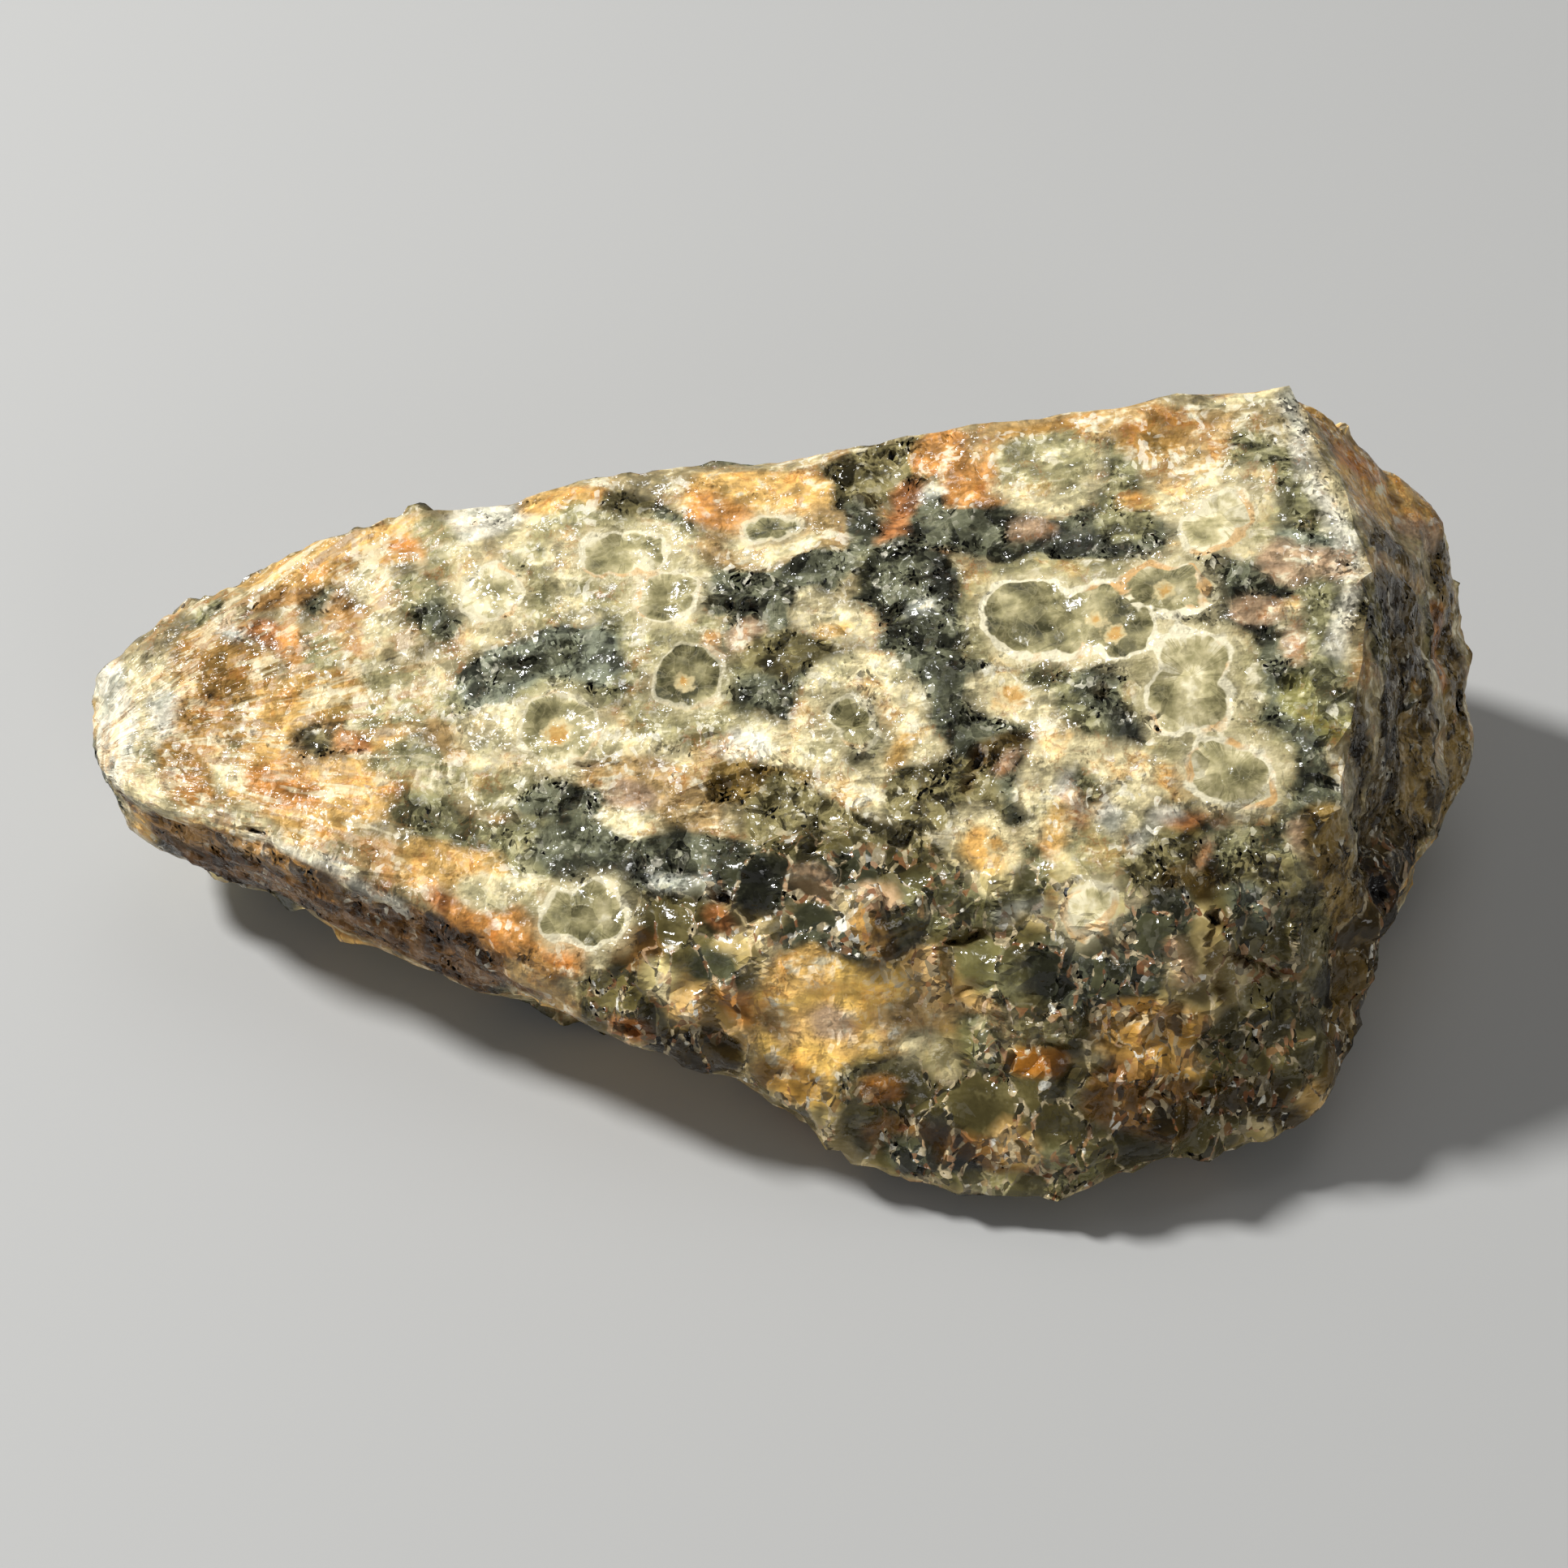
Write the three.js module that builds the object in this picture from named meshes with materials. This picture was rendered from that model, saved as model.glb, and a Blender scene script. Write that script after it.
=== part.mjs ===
// A rough, unpolished lump of ocean jasper: one broken piece of orbicular chalcedony.
//
// Millimetres, +Z up. The stone lies on a flat facet of its underside, with its long axis along X:
// a low blunt tip at -X, a tall broken end at +X, and its broad sloping top face turned to -Y.
// The origin is the middle of the bounding box at floor level.
//
// The solid is made in three steps. A cage of named corners gives the big broken faces. Their
// planes are blended into one distance field, which lumps, steps, blocks and hollows roughen.
// A fine sphere is then drawn onto that field from a point inside the stone.

import * as THREE from 'three';
import { ConvexHull } from 'three/addons/math/ConvexHull.js';
import { ImprovedNoise } from 'three/addons/math/ImprovedNoise.js';
import { mergeVertices } from 'three/addons/utils/BufferGeometryUtils.js';

// ---------------------------------------------------------------- driving dimensions

const HEART = new THREE.Vector3(2.5, 3, 9);    // the point inside from which the skin is drawn
const SPREAD = new THREE.Vector3(33, 16, 10);  // how the skin's points are first shared out around it
const SKIN_DETAIL = 20;                        // steps along each edge of the icosahedron, less one
const EDGE_ROUNDING = 0.12;                    // softness of the broken edges
const SEARCH_RADIUS = 60;                      // farther from the heart than any part of the stone
const SEARCH_STEPS = 18;
const SAME_FACE = 0.9995;                      // cosine: planes closer than this are one face
const SHARP_EDGE = 0.93;                       // cosine: planes that differ more meet in a sharp edge
const EDGE_PULL = 0.75;                        // skin points this near a sharp edge are set on it
const LEAST_ROOM = 0.3;                        // share of its room that a pulled triangle must keep
const EVENING_ROUNDS = 120;                    // rounds that even out the spacing of the skin's points

const LUMP_SIZE = 7.5;                         // width of the broad lumps
const LUMP_HEIGHT = 0.5;
const GRIT_SIZE = 2.4;                         // width of the small lumps
const GRIT_HEIGHT = 0.22;
const BLOCK_SIZE = 4.4;                        // width of the blocks of the shattered faces
const BLOCK_HEIGHT = 1.1;
const STEP_PITCH = 3.8;                        // from one ledge to the next on the ledged faces
const STEP_HEIGHT = 0.75;
const STEP_WANDER = 1.6;                       // how far the ledges stray, in steps

const UNDERSIDE = -0.04;                       // the underside before its lumps are ground off flat

// The corners of the stone, by the face or edge that they belong to.
const CORNERS = {
  tip: [
    [-33.6, 5.6, 12.8], [-35.3, 5.5, 11.8], [-35.9, 4.4, 8.2], [-34.4, 0.9, 9.9],
    [-34, 1, 5], [-34.3, 4.5, 4.8],
  ],
  backRim: [
    [-32.7, 6.3, 13.2], [-29.9, 9.2, 13.9], [-26.3, 11.2, 14.6], [-20.1, 13, 16.1],
    [-12.9, 13.9, 17.4], [7.8, 14, 20.8], [15, 14.6, 22], [21.2, 14.8, 22.9], [24.6, 14.9, 23.4],
  ],
  endRidge: [
    [25.6, 7.8, 22.5], [26.8, 3.7, 22.1], [25.7, 1, 21.1], [25.5, -4.8, 19.1], [25.2, -7.3, 16.9],
    [25.6, -10, 11],
  ],
  endFace: [
    [32, 15.2, 16.2], [34.5, 14.7, 13.6], [35.2, 13, 11], [36, 8.6, 7.5],
    [35.4, 4.3, 5], [33.2, 0.8, 3.5], [31.2, -2.2, 3], [27.5, -10.3, 3],
  ],
  shoulder: [
    [-8.2, -11.4, 10.5], [0.9, -11.2, 12.2], [9.5, -9.8, 13.4], [16.9, -9.2, 14.7], [23.3, -8, 16.4],
  ],
  frontFoot: [
    [24.8, -15.4, 3.2], [21.4, -16, 3.2], [13.3, -19.2, 2], [11.8, -19.4, 1.5], [8.8, -19.2, 1.5],
    [6.7, -18.6, 1.6], [2.2, -16.1, 2.5], [-6.6, -13.4, 4.5],
  ],
  undercutBrow: [
    [-31.5, -1.6, 11], [-26.6, -3.1, 11.4], [-21.6, -5.3, 11.4], [-16.9, -8.3, 10.8],
    [-13.7, -10.1, 9.7], [-10.6, -12, 7.8],
  ],
  undercutFoot: [
    [-30.5, 1.7, 2.6], [-26.5, 0.3, 2], [-21.1, -2.4, 2], [-17, -4, 2.4],
  ],
  backWall: [
    [-27.4, 14.5, 7], [-14.4, 17.1, 8], [2.6, 18.2, 9], [18.6, 19.4, 9.5], [28.6, 18.9, 9],
  ],
  underside: [
    [-27.4, 4.5, UNDERSIDE], [-18.4, -1.5, UNDERSIDE], [1.6, -11, UNDERSIDE], [11.6, -14.5, UNDERSIDE],
    [21.6, -11, UNDERSIDE], [28.6, 0.5, UNDERSIDE], [30.6, 9.5, UNDERSIDE], [24.6, 15.5, UNDERSIDE],
    [1.6, 15, UNDERSIDE], [-20.4, 11.5, UNDERSIDE],
  ],
};

// Faces broken into blocks: where they are centred, and how far they reach.
const SHATTERED = [
  { centre: [13, -13, 8], reach: [21, 9, 10] },
  { centre: [30, -3, 9], reach: [8, 10, 9] },
];

// Faces that step down in ledges: centre, reach, and the way that the steps go down.
const LEDGED = [
  { centre: [31, 10, 12], reach: [8, 12, 12], down: [0.3, -0.5, -0.8] },
  { centre: [0, 17.5, 9], reach: [34, 5, 9], down: [0.2, 0.3, -0.9] },
];

// Hollows broken out of the faces and edges: centre, half sizes and the softness of the rim.
const HOLLOWS = {
  rimNotch: { centre: [5.4, 10.8, 21], half: [1.5, 3.2, 2.4], rim: 0.2 },
  rimSag: { centre: [-4, 17.5, 22], half: [10, 5.5, 4.8], rim: 0.6 },
  shoulderRecess: { centre: [19.6, -8.6, 16.6], half: [3, 1.6, 1.8], rim: 0.3 },
  browGap: { centre: [-14, -12.4, 1.6], half: [11, 4.6, 5.4], rim: 0.5 },
  frontGap: { centre: [-3.6, -16.4, 1.8], half: [4.6, 4.2, 4.4], rim: 0.5 },
  toeGap: { centre: [17, -19.4, 1.6], half: [3, 2.6, 2.6], rim: 0.3 },
  endGap: { centre: [31, -7, 4], half: [2.8, 3.8, 4.8], rim: 0.5 },
};

// ---------------------------------------------------------------- noise and cells

const noise = new ImprovedNoise();

function smoothNoise(point, size, offset) {
  return noise.noise(point.x / size + offset, point.y / size - offset, point.z / size + 2 * offset);
}

// A repeatable number from 0 to 1 for a whole-numbered cell.
function cellNumber(i, j, k, channel) {
  const mixed = Math.sin(i * 127.1 + j * 311.7 + k * 74.7 + channel * 53.3) * 43758.5453;
  return mixed - Math.floor(mixed);
}

// Height of the block that holds a point: level on each block, and tilted a little.
function blockHeight(point, size) {
  const i0 = Math.floor(point.x / size);
  const j0 = Math.floor(point.y / size);
  const k0 = Math.floor(point.z / size);
  let nearest = Infinity;
  let height = 0;
  for (let i = i0 - 1; i <= i0 + 1; i++) {
    for (let j = j0 - 1; j <= j0 + 1; j++) {
      for (let k = k0 - 1; k <= k0 + 1; k++) {
        const dx = point.x / size - i - cellNumber(i, j, k, 0);
        const dy = point.y / size - j - cellNumber(i, j, k, 1);
        const dz = point.z / size - k - cellNumber(i, j, k, 2);
        const distance = dx * dx + dy * dy + dz * dz;
        if (distance < nearest) {
          nearest = distance;
          const tiltX = cellNumber(i, j, k, 3) - 0.5;
          const tiltY = cellNumber(i, j, k, 4) - 0.5;
          height = cellNumber(i, j, k, 5) - 0.5 + tiltX * dx + tiltY * dy;
        }
      }
    }
  }
  return height;
}

// 1 at the middle of a zone, falling smoothly to 0 at its reach.
function zoneWeight(point, zone) {
  const x = (point.x - zone.centre[0]) / zone.reach[0];
  const y = (point.y - zone.centre[1]) / zone.reach[1];
  const z = (point.z - zone.centre[2]) / zone.reach[2];
  return 1 - THREE.MathUtils.smoothstep(Math.sqrt(x * x + y * y + z * z), 0.6, 1);
}

// A staircase that rises by one for each unit, flat on its treads and steep on its risers.
function staircase(value) {
  const tread = Math.floor(value);
  return tread + THREE.MathUtils.smoothstep(value - tread, 0.7, 1) - value;
}

// ---------------------------------------------------------------- the stone's field

// The planes of the cage's faces, with near-parallel neighbours counted once.
function cagePlanes() {
  const points = Object.values(CORNERS).flat().map((corner) => new THREE.Vector3(...corner));
  const planes = [];
  for (const face of new ConvexHull().setFromPoints(points).faces) {
    if (!planes.some((plane) => plane.normal.dot(face.normal) > SAME_FACE)) {
      planes.push({ normal: face.normal.clone(), constant: face.constant });
    }
  }
  return planes;
}

const planes = cagePlanes();

// How far a point lies outside the cage, with its edges rounded.
function cageDistance(point) {
  const distances = planes.map((plane) => plane.normal.dot(point) - plane.constant);
  const largest = Math.max(...distances);
  const total = distances.reduce((sum, d) => sum + Math.exp((d - largest) / EDGE_ROUNDING), 0);
  return largest + EDGE_ROUNDING * Math.log(total);
}

// How far the rough skin stands out from the cage at a point.
function relief(point) {
  let height = LUMP_HEIGHT * smoothNoise(point, LUMP_SIZE, 3.7);
  height += GRIT_HEIGHT * smoothNoise(point, GRIT_SIZE, 9.1);
  for (const zone of SHATTERED) {
    height += BLOCK_HEIGHT * zoneWeight(point, zone) * blockHeight(point, BLOCK_SIZE);
  }
  for (const zone of LEDGED) {
    const along = new THREE.Vector3(...zone.down).normalize().dot(point);
    const wander = STEP_WANDER * smoothNoise(point, LUMP_SIZE, 5.5);
    height += STEP_HEIGHT * zoneWeight(point, zone) * staircase(along / STEP_PITCH + wander);
  }
  return height;
}

// How far a point lies inside a hollow.
function hollowDepth(point, hollow) {
  const x = (point.x - hollow.centre[0]) / hollow.half[0];
  const y = (point.y - hollow.centre[1]) / hollow.half[1];
  const z = (point.z - hollow.centre[2]) / hollow.half[2];
  return (1 - Math.sqrt(x * x + y * y + z * z)) * Math.min(...hollow.half);
}

// Positive outside the stone, negative inside.
function stoneField(point) {
  let field = cageDistance(point) - relief(point);
  for (const hollow of Object.values(HOLLOWS)) {
    const depth = hollowDepth(point, hollow);
    const blend = Math.max(hollow.rim - Math.abs(field - depth), 0) / hollow.rim;
    field = Math.max(field, depth) + blend * blend * hollow.rim / 4;
  }
  return field;
}

// ---------------------------------------------------------------- the skin

// The point where a ray from the heart leaves the cage.
function cagePoint(direction) {
  let reach = Infinity;
  for (const plane of planes) {
    const slope = plane.normal.dot(direction);
    if (slope > 0) {
      reach = Math.min(reach, (plane.constant - plane.normal.dot(HEART)) / slope);
    }
  }
  return HEART.clone().addScaledVector(direction, reach);
}

// The point where a ray from the heart leaves the stone, which ends flat at the floor.
function skinPoint(direction) {
  let inside = 0;
  let outside = SEARCH_RADIUS;
  const point = new THREE.Vector3();
  for (let step = 0; step < SEARCH_STEPS; step++) {
    const middle = (inside + outside) / 2;
    point.copy(HEART).addScaledVector(direction, middle);
    if (stoneField(point) < 0) {
      inside = middle;
    } else {
      outside = middle;
    }
  }
  point.copy(HEART).addScaledVector(direction, inside);
  if (point.z < 0) {
    point.copy(HEART).addScaledVector(direction, HEART.z / -direction.z);
    point.z = 0;
  }
  return point;
}

// A point of the cage, slid onto each sharp edge that it lies close to.
function onEdges(point) {
  const moved = point.clone();
  const home = planes.reduce((a, b) => (
    a.normal.dot(point) - a.constant > b.normal.dot(point) - b.constant ? a : b
  ));
  for (const other of planes) {
    const turn = home.normal.dot(other.normal);
    const gap = other.constant - other.normal.dot(moved);
    const across = other.normal.clone().addScaledVector(home.normal, -turn);
    if (turn < SHARP_EDGE && gap > 0 && gap < EDGE_PULL * across.length()) {
      moved.addScaledVector(across, gap / across.lengthSq());
    }
  }
  return moved;
}

// The triangles round each point of an indexed mesh.
function trianglesRound(mesh) {
  const lists = Array.from({ length: mesh.getAttribute('position').count }, () => []);
  const corners = mesh.index.array;
  for (let t = 0; t < corners.length; t += 3) {
    const triangle = [corners[t], corners[t + 1], corners[t + 2]];
    triangle.forEach((corner) => lists[corner].push(triangle));
  }
  return lists;
}

// The room under a triangle, seen from the heart: negative once the triangle is folded over.
function roomUnder(triangle, points) {
  const [a, b, c] = triangle.map((corner) => points[corner].clone().sub(HEART));
  return a.dot(b.cross(c));
}

// Moves the points evenly over the cage, then sets those near a sharp edge on that edge,
// apart from any whose move would fold or squash a triangle.
function spacedPoints(start, triangles) {
  let points = start;
  for (let round = 0; round < EVENING_ROUNDS; round++) {
    points = points.map((point, i) => {
      const mean = new THREE.Vector3();
      let total = 0;
      for (const corner of triangles[i].flat()) {
        const pull = point.distanceTo(points[corner]);
        mean.addScaledVector(points[corner], pull);
        total += pull;
      }
      mean.divideScalar(total).lerp(point, 0.5);
      return cagePoint(mean.sub(HEART).normalize());
    });
  }
  points.forEach((point, i) => {
    const before = Math.min(...triangles[i].map((triangle) => roomUnder(triangle, points)));
    points[i] = onEdges(point);
    const after = Math.min(...triangles[i].map((triangle) => roomUnder(triangle, points)));
    if (after < LEAST_ROOM * before) {
      points[i] = point;
    }
  });
  return points;
}

function stoneGeometry() {
  const ball = new THREE.IcosahedronGeometry(1, SKIN_DETAIL);
  ball.deleteAttribute('normal');
  ball.deleteAttribute('uv');
  const skin = mergeVertices(ball);
  const position = skin.getAttribute('position');
  const triangles = trianglesRound(skin);
  const start = triangles.map((list, i) => (
    cagePoint(new THREE.Vector3().fromBufferAttribute(position, i).multiply(SPREAD).normalize())
  ));
  spacedPoints(start, triangles).forEach((point, i) => {
    const surface = skinPoint(point.sub(HEART).normalize());
    position.setXYZ(i, surface.x, surface.y, surface.z);
  });
  skin.computeBoundingBox();
  const middle = skin.boundingBox.getCenter(new THREE.Vector3());
  skin.translate(-middle.x, -middle.y, -skin.boundingBox.min.z);
  skin.computeVertexNormals();
  return skin;
}

// ---------------------------------------------------------------- the part

function jasper() {
  return new THREE.MeshStandardMaterial({ color: 0x8f8460, roughness: 0.55, metalness: 0 });
}

const stone = new THREE.Mesh(stoneGeometry(), jasper());
stone.name = 'stone';

const oceanJasper = new THREE.Group();
oceanJasper.add(stone);

export default oceanJasper;
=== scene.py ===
"""Rough ocean jasper: the looks of the stone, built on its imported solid."""

import math

import bpy
import numpy as np
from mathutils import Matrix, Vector, noise
from mathutils.bvhtree import BVHTree


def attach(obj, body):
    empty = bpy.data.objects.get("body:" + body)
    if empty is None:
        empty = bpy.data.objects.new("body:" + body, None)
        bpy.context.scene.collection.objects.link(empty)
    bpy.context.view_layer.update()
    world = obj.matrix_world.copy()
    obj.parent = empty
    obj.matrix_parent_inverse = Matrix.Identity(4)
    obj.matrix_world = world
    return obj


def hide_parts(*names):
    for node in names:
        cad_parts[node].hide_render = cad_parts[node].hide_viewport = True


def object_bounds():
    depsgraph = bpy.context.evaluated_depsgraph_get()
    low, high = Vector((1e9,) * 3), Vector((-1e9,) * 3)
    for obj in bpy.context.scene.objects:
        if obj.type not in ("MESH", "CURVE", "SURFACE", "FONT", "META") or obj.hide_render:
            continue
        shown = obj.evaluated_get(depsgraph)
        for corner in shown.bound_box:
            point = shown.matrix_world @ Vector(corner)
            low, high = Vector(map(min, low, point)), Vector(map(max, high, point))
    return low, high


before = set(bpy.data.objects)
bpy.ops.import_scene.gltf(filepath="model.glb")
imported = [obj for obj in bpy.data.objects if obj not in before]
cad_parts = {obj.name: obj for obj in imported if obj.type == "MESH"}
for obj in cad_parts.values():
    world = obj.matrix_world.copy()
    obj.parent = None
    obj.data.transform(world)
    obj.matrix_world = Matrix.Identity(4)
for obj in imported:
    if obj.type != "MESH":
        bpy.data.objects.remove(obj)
cad_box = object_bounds()

MM = 0.001                     # Blender's metres in a millimetre, which is the unit of all sizes
PICTURE = 1932                 # pixels on each side of the picture
SEED = 7
noise.seed_set(SEED)           # or else it would take its offsets from the clock

# ---------------------------------------------------------------- the view

FIELD_OF_VIEW = math.radians(32)
ELEVATION = math.radians(50)
VIEW_TARGET = np.array([-0.5, 8.5, 0.0])
VIEW_DISTANCE = 148.4
NEAR_CLIP = 5


def view_axes():
    """The camera's place, and its forward, right and up directions."""
    back = np.array([0.0, -math.cos(ELEVATION), math.sin(ELEVATION)])
    right = np.array([1.0, 0.0, 0.0])
    return VIEW_TARGET + VIEW_DISTANCE * back, -back, right, np.cross(right, -back)


def pixel_ray(pixel):
    """The start and direction of the ray seen at a pixel of the picture."""
    place, forward, right, up = view_axes()
    focal = PICTURE / 2 / math.tan(FIELD_OF_VIEW / 2)
    ray = forward * focal + right * (pixel[0] - PICTURE / 2) - up * (pixel[1] - PICTURE / 2)
    return place, ray / np.linalg.norm(ray)


def make_camera():
    place, forward, *_ = view_axes()
    data = bpy.data.cameras.new("camera")
    data.angle = FIELD_OF_VIEW
    data.clip_start = NEAR_CLIP * MM
    camera = bpy.data.objects.new("camera", data)
    bpy.context.scene.collection.objects.link(camera)
    camera.location = Vector(place * MM)
    camera.rotation_euler = Vector(forward).to_track_quat("-Z", "Y").to_euler()
    bpy.context.scene.camera = camera


# ---------------------------------------------------------------- noise and cells

# How far apart in the endless noise the layers of noise are taken.
NOISE_STEP = np.array([13.7, 7.1, 3.3])
SHIFT_STEP = np.array([5.3, 17.9, 2.1])
LEDGE_FLAT = 0.6               # the share of each ledge that is flat


def soft_noise(points, size, layer=0.0):
    """Smooth noise between about -1 and 1, with features of the given size."""
    shift = Vector(layer * NOISE_STEP)
    return np.array([noise.noise(Vector(p) + shift) for p in points / size])


def noise_shift(points, size, layer=0.0):
    """A smooth random displacement of about unit length for each point."""
    shift = Vector(layer * SHIFT_STEP)
    return np.array([noise.noise_vector(Vector(p) + shift) for p in points / size])


def wander(points, steps):
    """How far noise moves each point, in steps of amount, size and layer."""
    return sum(amount * noise_shift(points, size, layer) for amount, size, layer in steps)


def smooth_step(value, low, high):
    t = np.clip((value - low) / (high - low), 0, 1)
    return t * t * (3 - 2 * t)


def cell_numbers(cells, channel):
    """A repeatable number from 0 to 1 for each whole-numbered cell."""
    mixed = np.sin(cells @ np.array([127.1, 311.7, 74.7]) + channel * 53.3) * 43758.5453
    return mixed - np.floor(mixed)


def chips(points, size, tilt, channel=0):
    """A surface broken into flat tilted chips, each about as wide as size. Gives the height of
    each point, in sizes, and its distance from the chip's edge in millimetres."""
    home = np.floor(points / size)
    nearest = np.full(len(points), np.inf)
    second = np.full(len(points), np.inf)
    height = np.zeros(len(points))
    for step in np.ndindex(3, 3, 3):
        cell = home + step - 1
        numbers = [cell_numbers(cell, channel + c) for c in range(7)]
        away = points / size - cell - np.stack(numbers[:3], axis=1)
        slope = np.stack(numbers[3:6], axis=1) - 0.5
        distance = np.linalg.norm(away, axis=1)
        closer = distance < nearest
        second = np.where(closer, nearest, np.minimum(second, distance))
        nearest = np.where(closer, distance, nearest)
        height = np.where(closer, (slope * away).sum(1) * tilt + 0.5 * (numbers[6] - 0.5), height)
    return height, (second - nearest) * size / 2


def terraces(height, step):
    """Turns a smooth height into flat steps with steep sides."""
    level = np.floor(height / step)
    return (level + smooth_step(height / step - level, LEDGE_FLAT, 1.0)) * step


# ---------------------------------------------------------------- the fine mesh

HALVINGS = 2                   # times that each CAD triangle is split in four
LEAST_TURN = math.radians(20)  # edges near an arris that turn more than this stay sharp
ARRIS_REACH = 1.3              # how near is near
UNDERSIDE = 1e-6               # points below this height belong to the flat underside


def mesh_arrays(mesh):
    points = np.empty(len(mesh.vertices) * 3)
    mesh.vertices.foreach_get("co", points)
    mesh.calc_loop_triangles()
    faces = np.empty(len(mesh.loop_triangles) * 3, dtype=np.int64)
    mesh.loop_triangles.foreach_get("vertices", faces)
    return points.reshape(-1, 3) / MM, faces.reshape(-1, 3)


def welded(points, faces):
    """One point for each place, whatever normals the imported mesh splits it by."""
    _, first, same = np.unique(np.round(points, 4), axis=0, return_index=True, return_inverse=True)
    return points[first], same.reshape(-1)[faces]


def face_normals(points, faces):
    a, b, c = (points[faces[:, i]] for i in range(3))
    normals = np.cross(b - a, c - a)
    return normals / np.maximum(np.linalg.norm(normals, axis=1, keepdims=True), 1e-12)


def point_normals(points, faces):
    a, b, c = (points[faces[:, i]] for i in range(3))
    weighted = np.cross(b - a, c - a)
    normals = np.zeros_like(points)
    for i in range(3):
        np.add.at(normals, faces[:, i], weighted)
    return normals / np.maximum(np.linalg.norm(normals, axis=1, keepdims=True), 1e-12)


def smoothed_corners(points, edges, sharp):
    """The corners, moved towards their neighbours but for those on a sharp edge."""
    around = np.zeros_like(points)
    count = np.zeros(len(points))
    held = np.zeros(len(points), dtype=bool)
    for near, far in ((0, 1), (1, 0)):
        np.add.at(around, edges[:, near], points[edges[:, far]])
        np.add.at(count, edges[:, near], 1)
        held[edges[sharp, near]] = True
    return np.where(held[:, None], points, points * 5 / 8 + around / count[:, None] * 3 / 8)


def split_faces(faces, middle):
    """Four triangles in place of each one, given the points in the middle of its sides."""
    a, b, c = faces.T
    ab, bc, ca = middle
    fours = [(a, ab, ca), (b, bc, ab), (c, ca, bc), (ab, bc, ca)]
    return np.concatenate([np.stack(corners, axis=1) for corners in fours])


def halved(points, faces, arrises):
    """Splits each triangle in four by Loop's rule, which rounds the edges, but leaves those along
    an arris sharp."""
    sides = np.concatenate([faces[:, [0, 1]], faces[:, [1, 2]], faces[:, [2, 0]]])
    opposite = np.concatenate([faces[:, 2], faces[:, 0], faces[:, 1]])
    face_of = np.tile(np.arange(len(faces)), 3)
    edges, edge_of = np.unique(np.sort(sides, axis=1), axis=0, return_inverse=True)
    edge_of = edge_of.reshape(-1)
    normals = face_normals(points, faces)
    turn = np.zeros((len(edges), 3))
    np.add.at(turn, edge_of, normals[face_of])
    sharp = np.linalg.norm(turn, axis=1) < 2 * math.cos(LEAST_TURN / 2)
    across = np.zeros((len(edges), 3))
    np.add.at(across, edge_of, points[opposite])
    ends = points[edges[:, 0]] + points[edges[:, 1]]
    sharp &= np.min([stroke_gap(ends / 2, stops) for stops in arrises], axis=0) < ARRIS_REACH
    middles = np.where(sharp[:, None], ends / 2, ends * 3 / 8 + across / 8)
    split = split_faces(faces, edge_of.reshape(3, -1) + len(points))
    fine = np.concatenate([smoothed_corners(points, edges, sharp), middles])
    flat = points[:, 2] < UNDERSIDE
    edge_flat = flat[edges[:, 0]] & flat[edges[:, 1]]
    fine[np.concatenate([flat, edge_flat]), 2] = 0
    return fine, split


# ---------------------------------------------------------------- places on the stone


class Skin:
    """The stone's surface: its points, and where rays from the view meet it."""

    def __init__(self, points, faces):
        self.points = points
        self.tree = BVHTree.FromPolygons([Vector(p) for p in points], faces.tolist())

    def at(self, pixel):
        """The place seen at a pixel, or the rim's nearest point where the ray just misses."""
        start, ray = pixel_ray(pixel)
        hit = self.tree.ray_cast(Vector(start), Vector(ray))[0]
        if hit is not None:
            return np.array(hit)
        away = self.points - start
        return self.points[np.linalg.norm(np.cross(away, ray), axis=1).argmin()]


# Orbs that show in the view. Each has its lobes, as pixel and radius in millimetres, the tone
# of its inside from 0, dark olive, to 1, pale sage, and how bold its ring is. One with no ring
# has only its fibres. Earlier orbs overgrow later ones.
ORBS = {
    "green_disc": ([((848, 832), 1.75)], 0.2, 0.45),
    "twin_east": ([((820, 733), 1.6)], 0.62, 0.8),
    "twin_west": ([((745, 681), 1.25), ((770, 678), 1.35), ((794, 684), 1.2)], 0.66, 0.8),
    "far_ring": ([((925, 656), 0.65), ((948, 652), 0.7), ((972, 648), 0.6)], 0.2, 0.5),
    "crystal_ring": ([((603, 730), 1.6)], 0.9, 0.7),
    "cream_core": ([((690, 899), 2.0)], 0.6, 0.5),
    "east_pair": ([((1050, 878), 0.95), ((1060, 906), 0.75)], 0.35, 0.5),
    "small_east": ([((1422, 725), 1.35), ((1446, 727), 1.4)], 0.45, 1.0),
    "cloud": (
        [((1267, 756), 2.1), ((1312, 770), 1.5), ((1360, 760), 1.85), ((1388, 774), 1.45),
         ((1378, 798), 0.8)],
        0.3,
        1.0,
    ),
    "upper_pair": ([((1488, 655), 1.35), ((1510, 628), 1.25)], 0.8, 0.8),
    "two_lobed": (
        [((1458, 806), 1.2), ((1486, 806), 1.2), ((1456, 860), 1.75), ((1476, 860), 1.65)],
        0.66,
        1.0,
    ),
    "hexagon": ([((1500, 948), 1.5), ((1532, 954), 1.55)], 0.6, 1.0),
    "foot_ring": ([((1341, 1121), 1.2)], 0.8, 0.7),
    "low_ring": ([((692, 1126), 1.2), ((733, 1128), 1.6)], 0.5, 0.8),
    "gold_orb": ([((1030, 1258), 2.6)], 0.5, 0.0),
    "south_spot": ([((1232, 1040), 1.5)], 0.5, 0.0),
    "west_star": ([((392, 920), 1.2)], 0.5, 0.1),
}
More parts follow.
